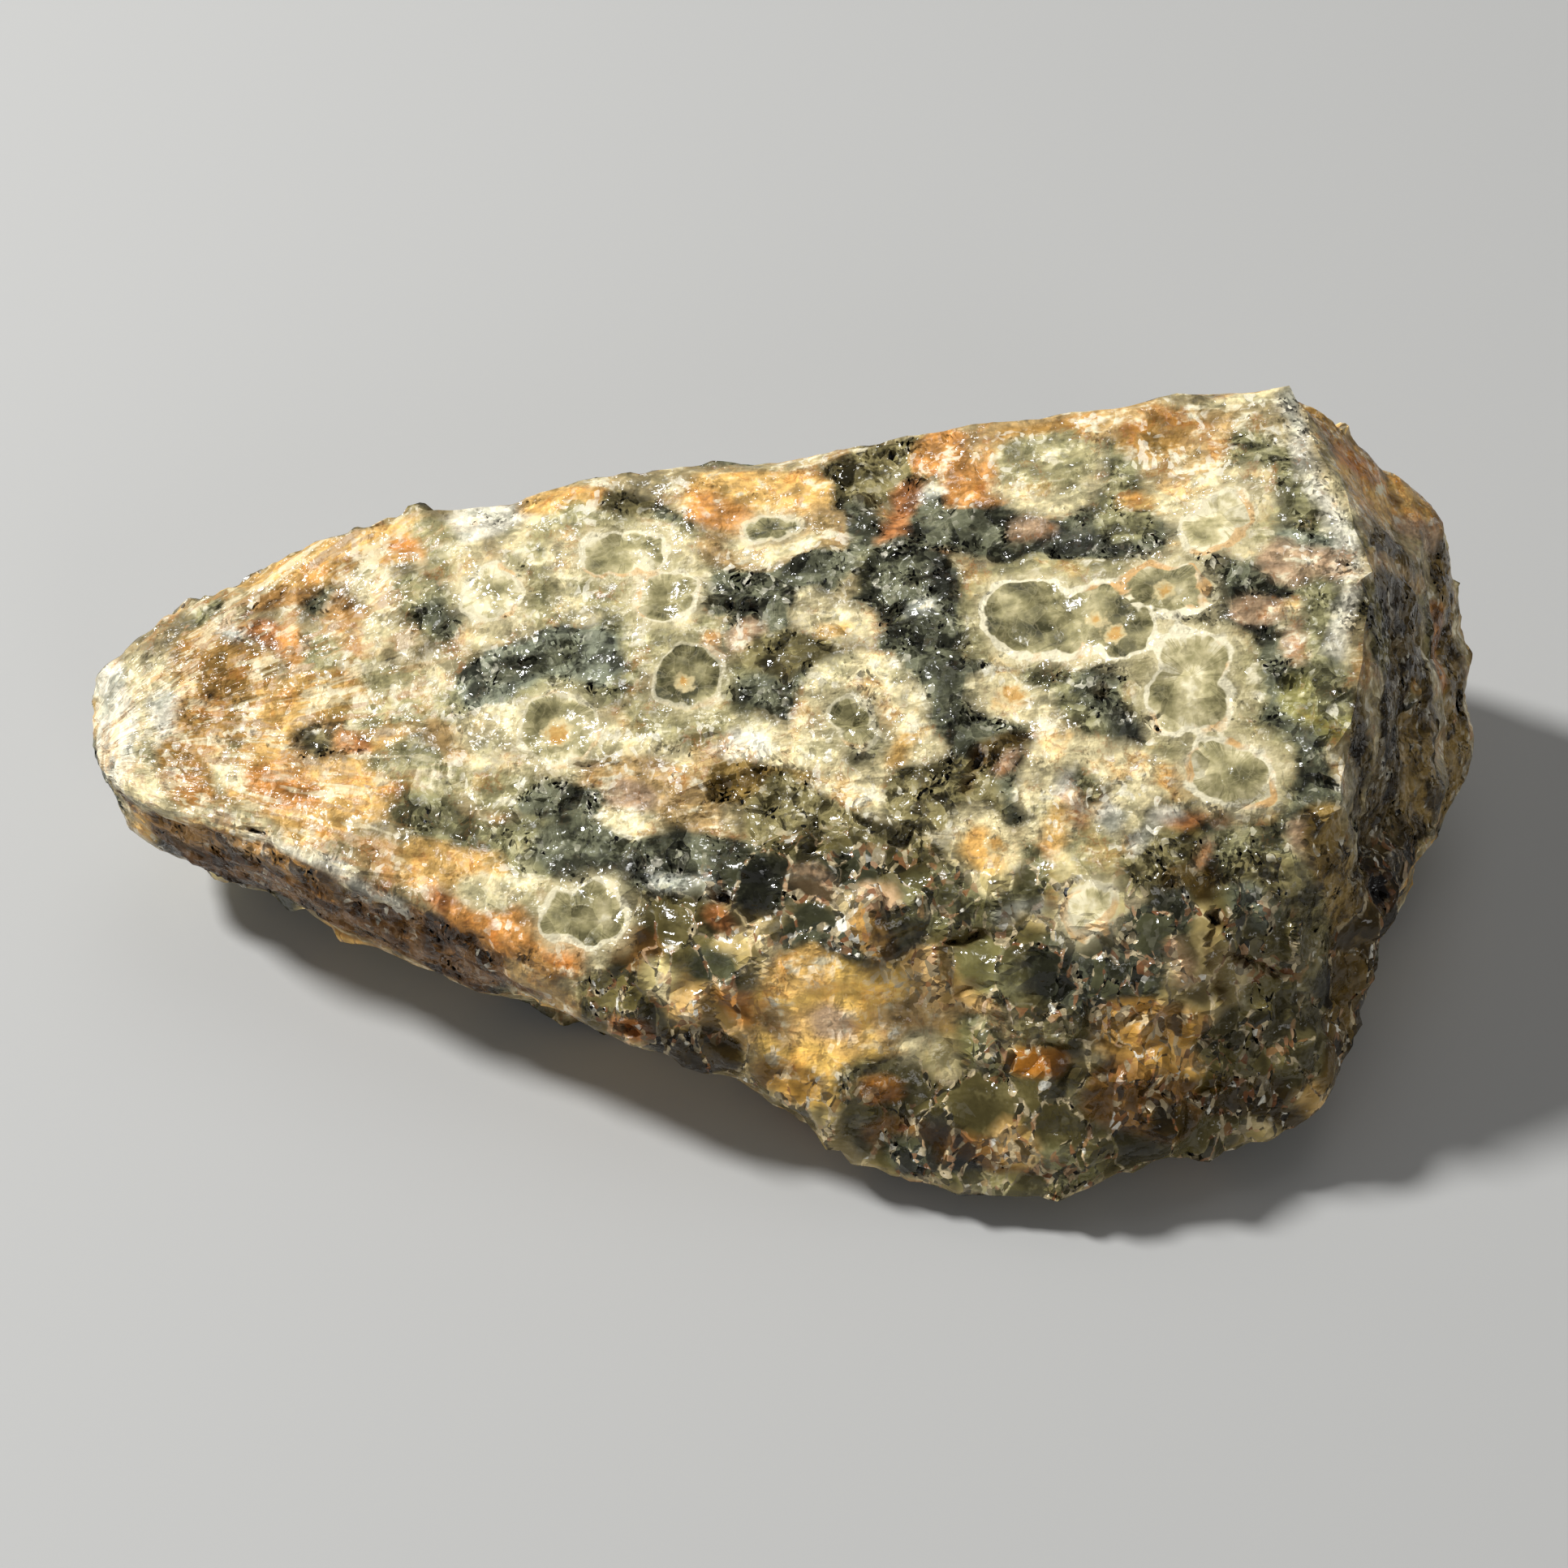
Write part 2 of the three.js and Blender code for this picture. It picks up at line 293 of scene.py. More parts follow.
# Golden hearts of orbs, as pixel and radius in millimetres.
CORES = {
    "green_disc": ((842, 838), 0.4),
    "cream_core": ((688, 903), 0.6),
    "cloud": ((1350, 763), 0.45),
    "cloud_east": ((1374, 781), 0.4),
    "small_east": ((1436, 728), 0.42),
    "spot": ((1249, 853), 0.6),
    "south_spot": ((1228, 1040), 0.45),
}

# The stone's colours, as they look on screen.
TINTS = {
    "ground": (176, 158, 114),
    "white": (244, 237, 212),
    "cream": (228, 212, 162),
    "sage": (178, 168, 120),
    "tan": (196, 162, 106),
    # the gold orb's bright yellow: the stone's gold made brighter as painted sunlight
    "gold_and_sunlight": (255, 208, 112),
    "gold": (232, 186, 108),
    "orange": (218, 152, 78),
    "ochre": (180, 138, 72),
    "brown": (124, 90, 46),
    "rust": (162, 106, 60),
    "pink": (194, 162, 126),
    "amber": (160, 104, 38),
    "lime": (134, 128, 72),
    "olive": (94, 86, 54),
    "green": (116, 112, 78),
    "dark": (72, 73, 56),
    "black": (46, 47, 38),
    # dark brown: partly the stone's own dark, partly painted shade on the side, the end face, the
    # recess and the lower front edge
    "umber_and_shade": (60, 46, 14),
    "bronze": (98, 78, 36),
    # warm brown of the side under the brow: partly the stone's brown, partly painted shade
    "earth_and_shade": (86, 56, 22),
    "slate": (98, 101, 84),
    # pale grey-white where small crystals sparkle: partly their own colour, partly painted glints
    "frost_and_glint": (200, 200, 184),
}

# Strokes of colour on the stone, area by area: the tint, half the width in millimetres, and the
# pixels that the stroke runs through. Each one covers what lies under it.
PAINT = [
    # side under the brow: the stone's brown, painted darker as shade
    ("brown", 2.4, (190, 1015), (300, 1050)),
    ("earth_and_shade", 2.9, (280, 1080), (400, 1120), (560, 1190)),
    ("umber_and_shade", 1.2, (220, 1060), (300, 1100), (400, 1150), (520, 1200)),
    ("brown", 0.7, (330, 1058), (460, 1098)),
    ("earth_and_shade", 1.6, (500, 1140), (630, 1205)),
    ("gold", 0.7, (165, 1005), (180, 1025)),
    # end face: olive-brown stone, its tints painted darker as shade
    ("umber_and_shade", 4.5, (1720, 760), (1720, 1000), (1680, 1200), (1640, 1300)),
    ("olive", 1.2, (1690, 740), (1700, 800)),
    ("olive", 1.0, (1750, 720), (1760, 800)),
    ("umber_and_shade", 1.0, (1674, 870), (1680, 960), (1672, 1080)),
    ("bronze", 1.4, (1740, 900), (1740, 1000)),
    ("bronze", 1.6, (1780, 690), (1795, 850), (1785, 1000)),
    ("bronze", 1.3, (1680, 1100), (1660, 1200), (1640, 1320)),
    ("amber", 0.8, (1770, 760), (1780, 840)),
    # back facet
    ("ochre", 1.9, (1630, 510), (1690, 560), (1750, 630)),
    ("gold", 1.6, (1668, 600), (1732, 622)),
    ("orange", 0.8, (1650, 560), (1700, 590)),
    ("brown", 0.4, (1708, 612), (1718, 618)),
    ("cream", 0.7, (1645, 595), (1660, 620)),
    ("pink", 0.8, (1725, 650), (1765, 662)),
    ("olive", 0.8, (1652, 650), (1684, 672)),
    ("tan", 0.45, (1690, 690), (1750, 716)),
    # tip
    ("cream", 1.7, (180, 840), (190, 950), (160, 960)),
    ("white", 1.5, (134, 850), (142, 940)),
    ("white", 1.0, (200, 872), (215, 896)),
    ("gold", 0.35, (116, 872), (118, 900)),
    ("cream", 0.8, (178, 945), (196, 972)),
    ("gold", 0.6, (236, 812), (240, 866)),
    ("ochre", 1.1, (224, 925), (240, 980)),
    ("orange", 0.5, (226, 962), (246, 985)),
    ("sage", 0.7, (280, 925), (284, 995)),
    ("cream", 0.5, (258, 900), (292, 1000), (312, 1014)),
    # west back
    ("ochre", 1.7, (250, 800), (300, 836), (256, 890)),
    ("brown", 0.5, (262, 868), (330, 852), (380, 866)),
    ("green", 0.6, (244, 762), (266, 748)),
    ("ochre", 1.0, (292, 862), (322, 872), (300, 896)),
    ("sage", 1.3, (400, 796), (450, 830), (390, 850)),
    ("tan", 1.0, (420, 760), (452, 790)),
    ("brown", 0.8, (326, 735), (390, 736), (424, 746)),
    ("dark", 0.5, (382, 750), (402, 726)),
    ("gold", 1.5, (312, 708), (400, 690), (470, 672), (520, 662)),
    ("ochre", 0.8, (414, 702), (470, 690)),
    ("orange", 0.7, (490, 668), (522, 678)),
    ("rust", 0.55, (322, 768), (350, 800)),
    ("orange", 0.6, (352, 786), (366, 812)),
    ("frost_and_glint", 0.5, (280, 772), (292, 780)),
    ("cream", 0.8, (455, 706), (482, 740), (462, 784)),
    # west
    ("sage", 1.6, (420, 846), (520, 856), (560, 876)),
    ("gold", 1.9, (350, 880), (410, 872), (446, 930), (400, 960), (345, 930)),
    ("gold", 0.7, (334, 884), (352, 858), (402, 862)),
    ("brown", 1.2, (384, 918), (424, 914)),
    ("olive", 0.6, (380, 906), (392, 926)),
    ("rust", 0.6, (424, 914), (442, 924)),
    ("sage", 0.9, (446, 886), (496, 888)),
    ("cream", 0.8, (538, 816), (572, 842), (588, 884)),
    ("tan", 0.9, (540, 905), (584, 914)),
    ("sage", 1.3, (480, 946), (540, 960)),
    ("ochre", 0.9, (455, 975), (500, 992)),
    ("sage", 0.9, (600, 968), (640, 978)),
    ("cream", 0.6, (592, 936), (648, 940)),
    ("orange", 0.3, (560, 932), (612, 922), (700, 934)),
    # brow
    ("gold", 1.4, (300, 996), (340, 1004), (400, 1000), (452, 985)),
    ("orange", 0.7, (318, 962), (346, 976), (384, 978)),
    ("green", 1.3, (515, 995), (560, 1028), (620, 1044)),
    ("tan", 0.8, (456, 1050), (492, 1072)),
    ("gold", 1.3, (520, 1066), (580, 1080), (640, 1074)),
    ("rust", 0.6, (540, 1108), (560, 1124)),
    ("orange", 0.7, (566, 1128), (604, 1142)),
    ("cream", 0.9, (590, 1100), (640, 1094)),
    # the next two strokes: a pale rim along the brow's edge, partly pale crystal and partly a
    # painted highlight
    ("white", 0.3, (298, 1020), (352, 1042), (421, 1073), (490, 1114)),
    ("cream", 0.5, (160, 978), (232, 1006), (300, 1004), (340, 1024)),
    # low ring
    ("cream", 1.0, (676, 1076), (740, 1082), (768, 1112), (766, 1146)),
    ("orange", 1.3, (636, 1152), (700, 1136), (680, 1176)),
    ("brown", 0.8, (650, 1186), (672, 1202)),
    ("sage", 0.8, (664, 1108), (716, 1110)),
    ("cream", 0.9, (735, 1150), (746, 1190)),
    ("tan", 0.8, (640, 1204), (700, 1238)),
    # crystal
    ("cream", 1.6, (560, 690), (580, 750), (620, 772), (652, 740)),
    ("cream", 1.4, (640, 650), (664, 694), (694, 660)),
    ("white", 1.3, (568, 648), (600, 640), (640, 622)),
    ("sage", 0.9, (528, 650), (546, 694)),
    ("green", 0.6, (628, 690), (646, 702)),
    ("gold", 0.9, (655, 622), (700, 615), (738, 622)),
    ("olive", 0.9, (760, 616), (800, 638), (836, 650)),
    ("dark", 0.7, (820, 640), (846, 656)),
    ("sage", 2.0, (700, 660), (830, 690), (840, 756), (740, 766), (690, 730)),
    (
        "cream", 0.6, (690, 660), (700, 740), (730, 776), (820, 780), (868, 740), (862, 690),
        (820, 660),
    ),
    ("green", 1.2, (512, 730), (545, 765)),
    ("dark", 0.8, (534, 752), (552, 770)),
    ("frost_and_glint", 0.8, (594, 718), (606, 736)),
    # north west
    ("green", 1.6, (590, 850), (640, 850), (752, 836), (750, 800)),
    ("slate", 1.5, (600, 840), (628, 818), (680, 800), (740, 812)),
    ("dark", 0.7, (620, 826), (700, 806)),
    # far
    ("olive", 1.8, (1040, 600), (1100, 586), (1136, 566)),
    ("dark", 1.5, (1040, 640), (1062, 672), (1092, 694)),
    ("gold", 1.3, (880, 612), (940, 600), (1000, 612)),
    ("orange", 0.9, (874, 628), (904, 640)),
    ("tan", 1.1, (886, 676), (950, 694), (1012, 670), (1016, 640)),
    ("cream", 0.5, (900, 672), (950, 684), (1000, 664)),
    ("dark", 1.4, (890, 728), (960, 726), (1016, 704)),
    ("rust", 1.0, (1122, 618), (1108, 666)),
    ("rust", 0.6, (1130, 680), (1156, 682)),
    ("green", 1.3, (1086, 700), (1100, 764)),
    ("dark", 0.9, (1070, 744), (1104, 790)),
    ("frost_and_glint", 0.5, (1146, 614), (1158, 640)),
    # north
    ("green", 1.2, (884, 838), (918, 846), (900, 872)),
    ("sage", 1.3, (800, 800), (870, 806), (830, 880)),
    ("olive", 1.4, (940, 800), (990, 808)),
    ("dark", 1.1, (930, 852), (984, 862), (1004, 846)),
    ("dark", 0.7, (890, 790), (920, 760), (960, 758)),
    ("pink", 0.5, (906, 786), (930, 768)),
    ("orange", 0.3, (876, 778), (872, 796), (886, 812)),
    ("cream", 1.1, (1006, 756), (1060, 772)),
    ("gold", 0.4, (1010, 776), (1040, 774)),
    # middle
    ("cream", 1.5, (600, 902), (640, 898), (740, 930), (840, 930)),
    ("cream", 1.3, (870, 910), (940, 920), (1000, 930)),
    ("white", 0.7, (885, 916), (930, 920)),
    ("sage", 1.3, (800, 882), (870, 884)),
    ("tan", 1.5, (750, 966), (800, 970), (850, 990)),
    ("cream", 0.8, (740, 1000), (780, 1012)),
    ("pink", 0.7, (760, 975), (794, 986)),
    ("bronze", 1.2, (896, 964), (980, 970)),
    ("olive", 0.8, (964, 966), (992, 986)),
    ("dark", 1.2, (664, 986), (716, 992)),
    # pair
    (
        "cream", 1.3, (1015, 882), (1034, 836), (1090, 828), (1136, 862), (1132, 930),
        (1090, 980), (1040, 962),
    ),
    ("gold", 0.45, (1104, 936), (1120, 902)),
    ("green", 1.0, (1046, 872), (1064, 914)),
    ("dark", 0.6, (1054, 900), (1062, 920)),
    # band
    ("dark", 1.9, (1110, 700), (1170, 742), (1190, 800)),
    ("black", 0.9, (1158, 702), (1176, 722)),
    ("dark", 1.6, (1140, 792), (1182, 852)),
    ("dark", 1.8, (1190, 872), (1222, 900), (1216, 950), (1256, 974)),
    ("umber_and_shade", 0.9, (1216, 930), (1256, 926)),
    ("pink", 0.3, (1230, 952), (1242, 936)),
    ("olive", 1.6, (1130, 982), (1180, 972), (1204, 1002)),
    ("frost_and_glint", 0.3, (1124, 752), (1140, 744)),
    # top
    ("dark", 1.7, (1160, 644), (1240, 656), (1320, 660), (1430, 655)),
    ("black", 0.8, (1290, 664), (1380, 668)),
    ("green", 1.4, (1364, 570), (1392, 640)),
    ("orange", 1.3, (1152, 556), (1210, 566)),
    ("orange", 0.9, (1180, 602), (1226, 606)),
    ("tan", 1.3, (1216, 548), (1300, 524), (1400, 510)),
    ("ochre", 0.7, (1240, 540), (1300, 528), (1340, 520)),
    ("ochre", 1.2, (1404, 540), (1462, 532)),
    ("tan", 1.0, (1480, 560), (1506, 522)),
    ("cream", 0.5, (1500, 496), (1570, 480)),
    ("cream", 0.7, (1236, 600), (1262, 622), (1300, 618), (1342, 604), (1344, 560)),
    ("sage", 1.6, (1266, 570), (1314, 562)),
    ("gold", 0.5, (1398, 610), (1412, 616)),
    ("pink", 0.5, (1252, 656), (1276, 650)),
    ("green", 1.3, (1536, 556), (1582, 590)),
    ("dark", 1.2, (1548, 602), (1600, 622)),
    # cloud
    ("sage", 1.2, (1214, 730), (1220, 786), (1270, 808), (1330, 822), (1412, 808), (1432, 772)),
    ("sage", 0.9, (1222, 716), (1270, 700), (1330, 716), (1380, 716)),
    ("cream", 0.5, (1240, 806), (1290, 822), (1340, 826)),
    ("green", 1.2, (1286, 836), (1330, 866), (1380, 904)),
    ("dark", 1.3, (1356, 846), (1390, 868), (1410, 900), (1440, 930)),
    ("black", 0.6, (1384, 880), (1420, 916)),
    ("cream", 1.1, (1226, 852), (1264, 868)),
    ("orange", 0.4, (1244, 856), (1252, 858)),
    # east
    ("cream", 1.5, (1460, 612), (1530, 602), (1544, 660), (1470, 690)),
    ("sage", 1.3, (1572, 650), (1630, 650), (1644, 700)),
    ("green", 1.0, (1596, 580), (1612, 640)),
    ("slate", 0.8, (1590, 662), (1634, 670)),
    ("dark", 0.7, (1552, 696), (1600, 722), (1632, 728)),
    ("dark", 1.2, (1498, 704), (1556, 716)),
    ("pink", 1.1, (1580, 690), (1630, 702)),
    ("dark", 1.8, (1490, 764), (1530, 782), (1590, 800)),
    ("black", 0.9, (1500, 768), (1544, 786)),
    ("pink", 0.7, (1538, 748), (1562, 752)),
    ("dark", 1.7, (1545, 840), (1566, 856), (1588, 884)),
    ("cream", 1.3, (1612, 762), (1636, 800)),
    ("pink", 0.6, (1600, 780), (1606, 802)),
    ("lime", 1.2, (1608, 858), (1636, 886)),
    ("dark", 1.6, (1596, 930), (1614, 990), (1600, 1020)),
    ("sage", 1.1, (1412, 850), (1442, 792), (1522, 800), (1526, 870), (1470, 906)),
    ("sage", 1.2, (1450, 930), (1500, 914), (1560, 930), (1560, 980), (1500, 985)),
    ("cream", 0.6, (1460, 986), (1510, 992), (1556, 990)),
    ("green", 1.0, (1626, 730), (1636, 800), (1640, 860)),
    # a pale line down the end ridge: partly pale crystal, partly a painted highlight
    ("white", 0.38, (1590, 480), (1604, 556), (1626, 610), (1658, 664), (1662, 720), (1652, 800)),
    # patch
    ("cream", 2.2, (1312, 962), (1380, 964), (1424, 992), (1396, 1044)),
    ("white", 0.8, (1316, 970), (1370, 1010)),
    ("cream", 2.1, (1320, 1050), (1340, 1112)),
    ("cream", 0.9, (1376, 952), (1422, 1000), (1400, 1034)),
    ("rust", 0.25, (1300, 976), (1320, 990), (1338, 1020)),
    ("orange", 0.3, (1284, 1060), (1294, 1112)),
    ("sage", 1.2, (1350, 1050), (1366, 1086)),
    ("gold", 0.5, (1298, 996), (1304, 1040)),
    ("orange", 0.35, (1292, 1056), (1288, 1092)),
    ("green", 0.6, (1334, 964), (1350, 980)),
    ("gold", 0.6, (1440, 960), (1470, 986)),
    ("white", 0.8, (1328, 1130), (1348, 1146)),
    # recess under a ledge: painted shade in olive and umber, with a rusty rim
    ("olive", 1.7, (1430, 1062), (1450, 1030), (1484, 1020)),
    ("olive", 1.5, (1480, 1040), (1520, 1060)),
    ("umber_and_shade", 0.9, (1450, 1084), (1486, 1092)),
    ("umber_and_shade", 0.4, (1462, 1018), (1500, 1008)),
    ("dark", 0.45, (1500, 1020), (1508, 1060)),
    ("pink", 0.35, (1476, 1064), (1490, 1044)),
    ("pink", 0.3, (1510, 1010), (1520, 1050), (1530, 1076)),
    ("rust", 0.3, (1440, 1006), (1470, 1002), (1498, 990), (1510, 1006), (1528, 1014)),
    ("white", 0.25, (1402, 1042), (1424, 1010), (1450, 998)),
    ("green", 1.6, (1540, 1050), (1590, 1082), (1560, 1124)),
    ("pink", 0.6, (1600, 1030), (1622, 1050)),
    ("bronze", 1.4, (1636, 1030), (1650, 1100), (1630, 1180)),
    # south west
    ("green", 1.5, (650, 1040), (740, 1056)),
    ("dark", 1.7, (700, 1040), (760, 1072), (850, 1062), (950, 1076)),
    ("black", 0.6, (770, 1068), (800, 1072)),
    ("frost_and_glint", 0.6, (820, 1090), (862, 1096)),
    ("olive", 1.7, (796, 1140), (842, 1142)),
    ("brown", 1.2, (782, 1172), (770, 1212)),
    ("olive", 1.5, (745, 1226), (792, 1242)),
    ("cream", 0.8, (808, 1202), (828, 1216)),
    ("tan", 1.6, (860, 1234), (900, 1262)),
    ("dark", 0.8, (868, 1190), (892, 1196)),
    ("rust", 0.7, (774, 1262), (792, 1270)),
    ("umber_and_shade", 1.3, (836, 1292), (892, 1302)),
    ("orange", 0.8, (904, 1236), (930, 1246)),
    ("rust", 0.5, (878, 1124), (896, 1136)),
    # south
    ("olive", 2.0, (1110, 1160), (1200, 1190), (1300, 1200), (1300, 1260)),
    ("olive", 1.7, (960, 1010), (1060, 1050), (1130, 1072)),
    ("green", 1.5, (1150, 1110), (1230, 1100), (1260, 1080)),
    ("dark", 1.0, (1040, 1072), (1064, 1062)),
    ("pink", 0.7, (990, 1086), (1012, 1096)),
    ("pink", 0.6, (1074, 1096), (1096, 1102)),
    ("dark", 1.5, (995, 1150), (1046, 1166)),
    ("dark", 0.8, (1105, 1178), (1130, 1190)),
    ("ochre", 0.8, (1070, 1136), (1090, 1166)),
    ("tan", 1.4, (1136, 1202), (1182, 1242)),
    ("green", 1.2, (1200, 1182), (1232, 1204)),
    ("dark", 2.0, (1320, 1192), (1382, 1202)),
    ("dark", 1.5, (1410, 1152), (1442, 1130)),
    ("frost_and_glint", 0.4, (1240, 1130), (1282, 1114)),
    ("pink", 0.5, (1450, 1170), (1462, 1212)),
    ("olive", 0.9, (1540, 1166), (1572, 1176)),
    ("frost_and_glint", 0.7, (1550, 1238), (1572, 1246)),
    ("cream", 1.5, (1204, 1030), (1222, 1060)),
    ("gold", 0.9, (1204, 1044), (1214, 1054)),
    # gold orb: the stone's gold, painted brighter as painted sunlight
    ("gold_and_sunlight", 2.7, (1000, 1242), (1062, 1252), (1050, 1300), (1000, 1298)),
    ("gold", 1.0, (1006, 1258), (1046, 1282)),
    ("pink", 0.8, (1016, 1256), (1036, 1262)),
    ("gold", 1.0, (960, 1205), (1004, 1194)),
    ("ochre", 1.0, (956, 1324), (988, 1340)),
    ("tan", 0.8, (955, 1255), (972, 1266)),
    # front, which faces down: dark olive glass, partly painted darker as shade
    ("olive", 3.2, (1120, 1370), (1250, 1400), (1400, 1400), (1480, 1350)),
    ("olive", 2.4, (1560, 1110), (1600, 1180), (1590, 1260)),
    ("slate", 0.8, (1530, 1100), (1560, 1130)),
    ("olive", 1.5, (1066, 1342), (1104, 1352)),
    ("amber", 0.7, (1078, 1344), (1096, 1345)),
    ("tan", 1.3, (1110, 1262), (1142, 1250)),
    ("cream", 0.8, (1130, 1290), (1162, 1312)),
    ("green", 1.0, (1200, 1270), (1222, 1312)),
    ("amber", 0.7, (1262, 1306), (1300, 1312)),
    ("olive", 1.5, (1216, 1366), (1332, 1366)),
    ("ochre", 1.8, (1390, 1272), (1452, 1282)),
    ("gold", 0.7, (1450, 1294), (1462, 1312)),
    ("brown", 1.6, (1380, 1350), (1442, 1370)),
    ("umber_and_shade", 0.9, (1430, 1376), (1452, 1382)),
    ("olive", 2.0, (1520, 1290), (1582, 1322)),
    ("umber_and_shade", 1.2, (1500, 1350), (1562, 1352)),
    ("tan", 0.7, (1612, 1346), (1624, 1366)),
    ("brown", 1.0, (1090, 1396), (1200, 1420), (1262, 1432)),
    ("tan", 0.7, (1240, 1400), (1262, 1430)),
    ("dark", 0.9, (1110, 1416), (1132, 1430)),
    ("black", 0.7, (1184, 1440), (1200, 1446)),
    ("sage", 0.7, (1205, 1460), (1270, 1465)),
    ("green", 1.0, (1300, 1430), (1332, 1440)),
]
# Where small crystal faces sparkle: half width in millimetres, then pixels.
FROST = {
    "crystal": (0.9, (594, 722), (606, 736)),
    "band_west": (1.0, (1080, 740), (1118, 770)),
    "far": (0.7, (1000, 700), (1100, 690)),
    "band": (0.5, (1150, 745), (1190, 770), (1186, 800)),
    "low_right": (0.7, (1548, 1236), (1562, 1246)),
    "south": (0.7, (1280, 1124), (1310, 1102)),
    "south_west": (0.6, (812, 1084), (862, 1096)),
    "ridge": (0.7, (1594, 490), (1604, 560), (1626, 610), (1660, 666), (1664, 760)),
    "ridge_side": (0.9, (1640, 650), (1632, 690)),
    "west_spot": (0.5, (276, 772), (294, 770)),
    "brow": (0.3, (298, 1014), (352, 1038), (421, 1071), (490, 1110)),
    "tip": (0.3, (210, 872), (240, 890)),
    "back": (0.6, (590, 640), (630, 640), (660, 618)),
    "rim": (0.4, (1020, 578), (1080, 566), (1160, 545)),
    "middle": (0.5, (810, 915), (870, 925), (990, 932)),
    "pair": (0.5, (1040, 832), (1090, 836), (1060, 870)),
    "notch": (0.3, (1146, 612), (1158, 640)),
}
# Edges of the stone that stay crisp.
ARRISES = {
    "brow": [
        (122, 950), (184, 995), (298, 1018), (421, 1071), (490, 1113), (555, 1140), (600, 1163),
    ],
    "end_ridge": [
        (1589, 480), (1605, 535), (1628, 605), (1660, 662), (1672, 705), (1660, 800), (1660, 960),
    ],
    "tip": [(118, 838), (150, 860), (160, 930), (140, 965)],
    "rim": [(222, 772), (320, 712), (450, 658), (607, 624), (830, 602), (1015, 580), (1168, 540)],
    "rim_east": [(1168, 540), (1300, 528), (1440, 506), (1585, 482)],
}
FAR = 4.0                      # distances are told apart up to this many millimetres
ZONE_FAR = 3.0
HEART_FAR = 2.0
# Where the stone is broken into blocks, as half width in millimetres and pixels.
SHATTERED = {
    "south": (3.6, (860, 1180), (1000, 1120), (1200, 1150), (1380, 1180), (1520, 1180)),
    "front": (4.6, (840, 1260), (1080, 1360), (1300, 1400), (1520, 1330)),
    "end": (3.6, (1710, 1130), (1640, 1300)),
}
# Where it stays whole in their midst.
WHOLE = {"gold_orb": (3.2, (1004, 1250), (1062, 1268))}
CRACK_SLOPE = 0.2              # width of a crack's sloping side, beyond its half width
CRACK_FLOOR = 0.3              # share of its half width that is at full depth
# Pits and cracks, as the pixels that they run through, half width and depth in millimetres.
CRACKS = {
    "pit": ([(1205, 926), (1203, 940)], 0.22, 0.8),
    "pit_tail": ([(1203, 940), (1190, 972)], 0.05, 0.4),
    "small_pit": ([(1357, 850), (1358, 852)], 0.14, 0.5),
    "slot": ([(1172, 1162), (1190, 1160), (1208, 1150)], 0.05, 0.4),
    "slot_low": ([(1178, 1222), (1204, 1210)], 0.03, 0.3),
    "fork_hole": ([(1497, 1128), (1503, 1136)], 0.16, 0.6),
    "fork_stem": ([(1500, 1132), (1490, 1170)], 0.05, 0.4),
    "fork_east": ([(1490, 1170), (1530, 1182), (1580, 1200)], 0.05, 0.4),
    "fork_south": ([(1490, 1170), (1505, 1230)], 0.05, 0.4),
    "south_hole": ([(886, 1104), (896, 1108)], 0.22, 0.6),
    "brow_pit": ([(300, 1020), (322, 1028)], 0.08, 0.4),
    "low_hole": ([(768, 1264), (776, 1268)], 0.16, 0.6),
    "fine_crack": ([(713, 945), (735, 942)], 0.02, 0.2),
    "end_hollow": ([(1698, 1092), (1704, 1100)], 0.7, 0.8),
}


def stroke_gap(points, stops):
    """Distance of each point from the line through the stops."""
    gap = np.full(len(points), np.inf)
    for a, b in zip(stops, stops[1:]):
        run = b - a
        share = np.clip((points - a) @ run / (run @ run), 0, 1)
        gap = np.minimum(gap, np.linalg.norm(points - a - share[:, None] * run, axis=1))
    return gap


def zone_depth(points, skin, strokes):
    """How far inside a set of strokes each point lies, in millimetres; outside it is negative."""
    depth = np.full(len(points), -FAR)
    for half_width, *pixels in strokes.values():
        stops = [skin.at(pixel) for pixel in pixels]
        depth = np.maximum(depth, half_width - stroke_gap(points, stops))
    return depth


def crack_fields(points, skin):
    """How far inside the cracks and pits each point lies, and how deep they are there."""
    inside = np.full(len(points), -1.0)
    depth = np.zeros(len(points))
    for pixels, half_width, deepest in CRACKS.values():
        gap = stroke_gap(points, [skin.at(pixel) for pixel in pixels])
        inside = np.maximum(inside, half_width - gap)
        slope = smooth_step(gap, half_width + CRACK_SLOPE, CRACK_FLOOR * half_width)
        depth = np.maximum(depth, deepest * slope)
    return inside, depth


# ---------------------------------------------------------------- the stone

# How noise bends the outlines of orbs, strokes, zones, blocks and cracks: amount, size, layer.
ORB_WANDER = [(0.42, 1.7, 1), (0.14, 0.8, 2)]
STROKE_WANDER = [(0.42, 2.2, 6), (0.16, 0.8, 7)]
ZONE_WANDER = [(0.45, 2.2, 6)]
BLOCK_WANDER = [(0.4, 1.6, 14)]
CRACK_WANDER = [(0.12, 0.7, 15)]

HIDDEN_ORBS = 60
HIDDEN_RADIUS = (0.9, 2.3)
HIDDEN_MARGIN = 1.4            # least distance from a hidden orb's edge to what the view shows
HIDDEN_SPACING = 0.75          # and from its middle to another orb's edge, in its own radii
SHOWN_STEP = 9                 # one in so many points stands for what the view shows
HEART_TONE = 0.6               # hidden orbs paler than this have a heart,
HEART_SHARE = 0.25             # with this share of their radius
NO_ORB = 9.0                   # distance from an orb for points that are far from all of them
LOBE_BLEND = 0.14              # how softly an orb's lobes run together


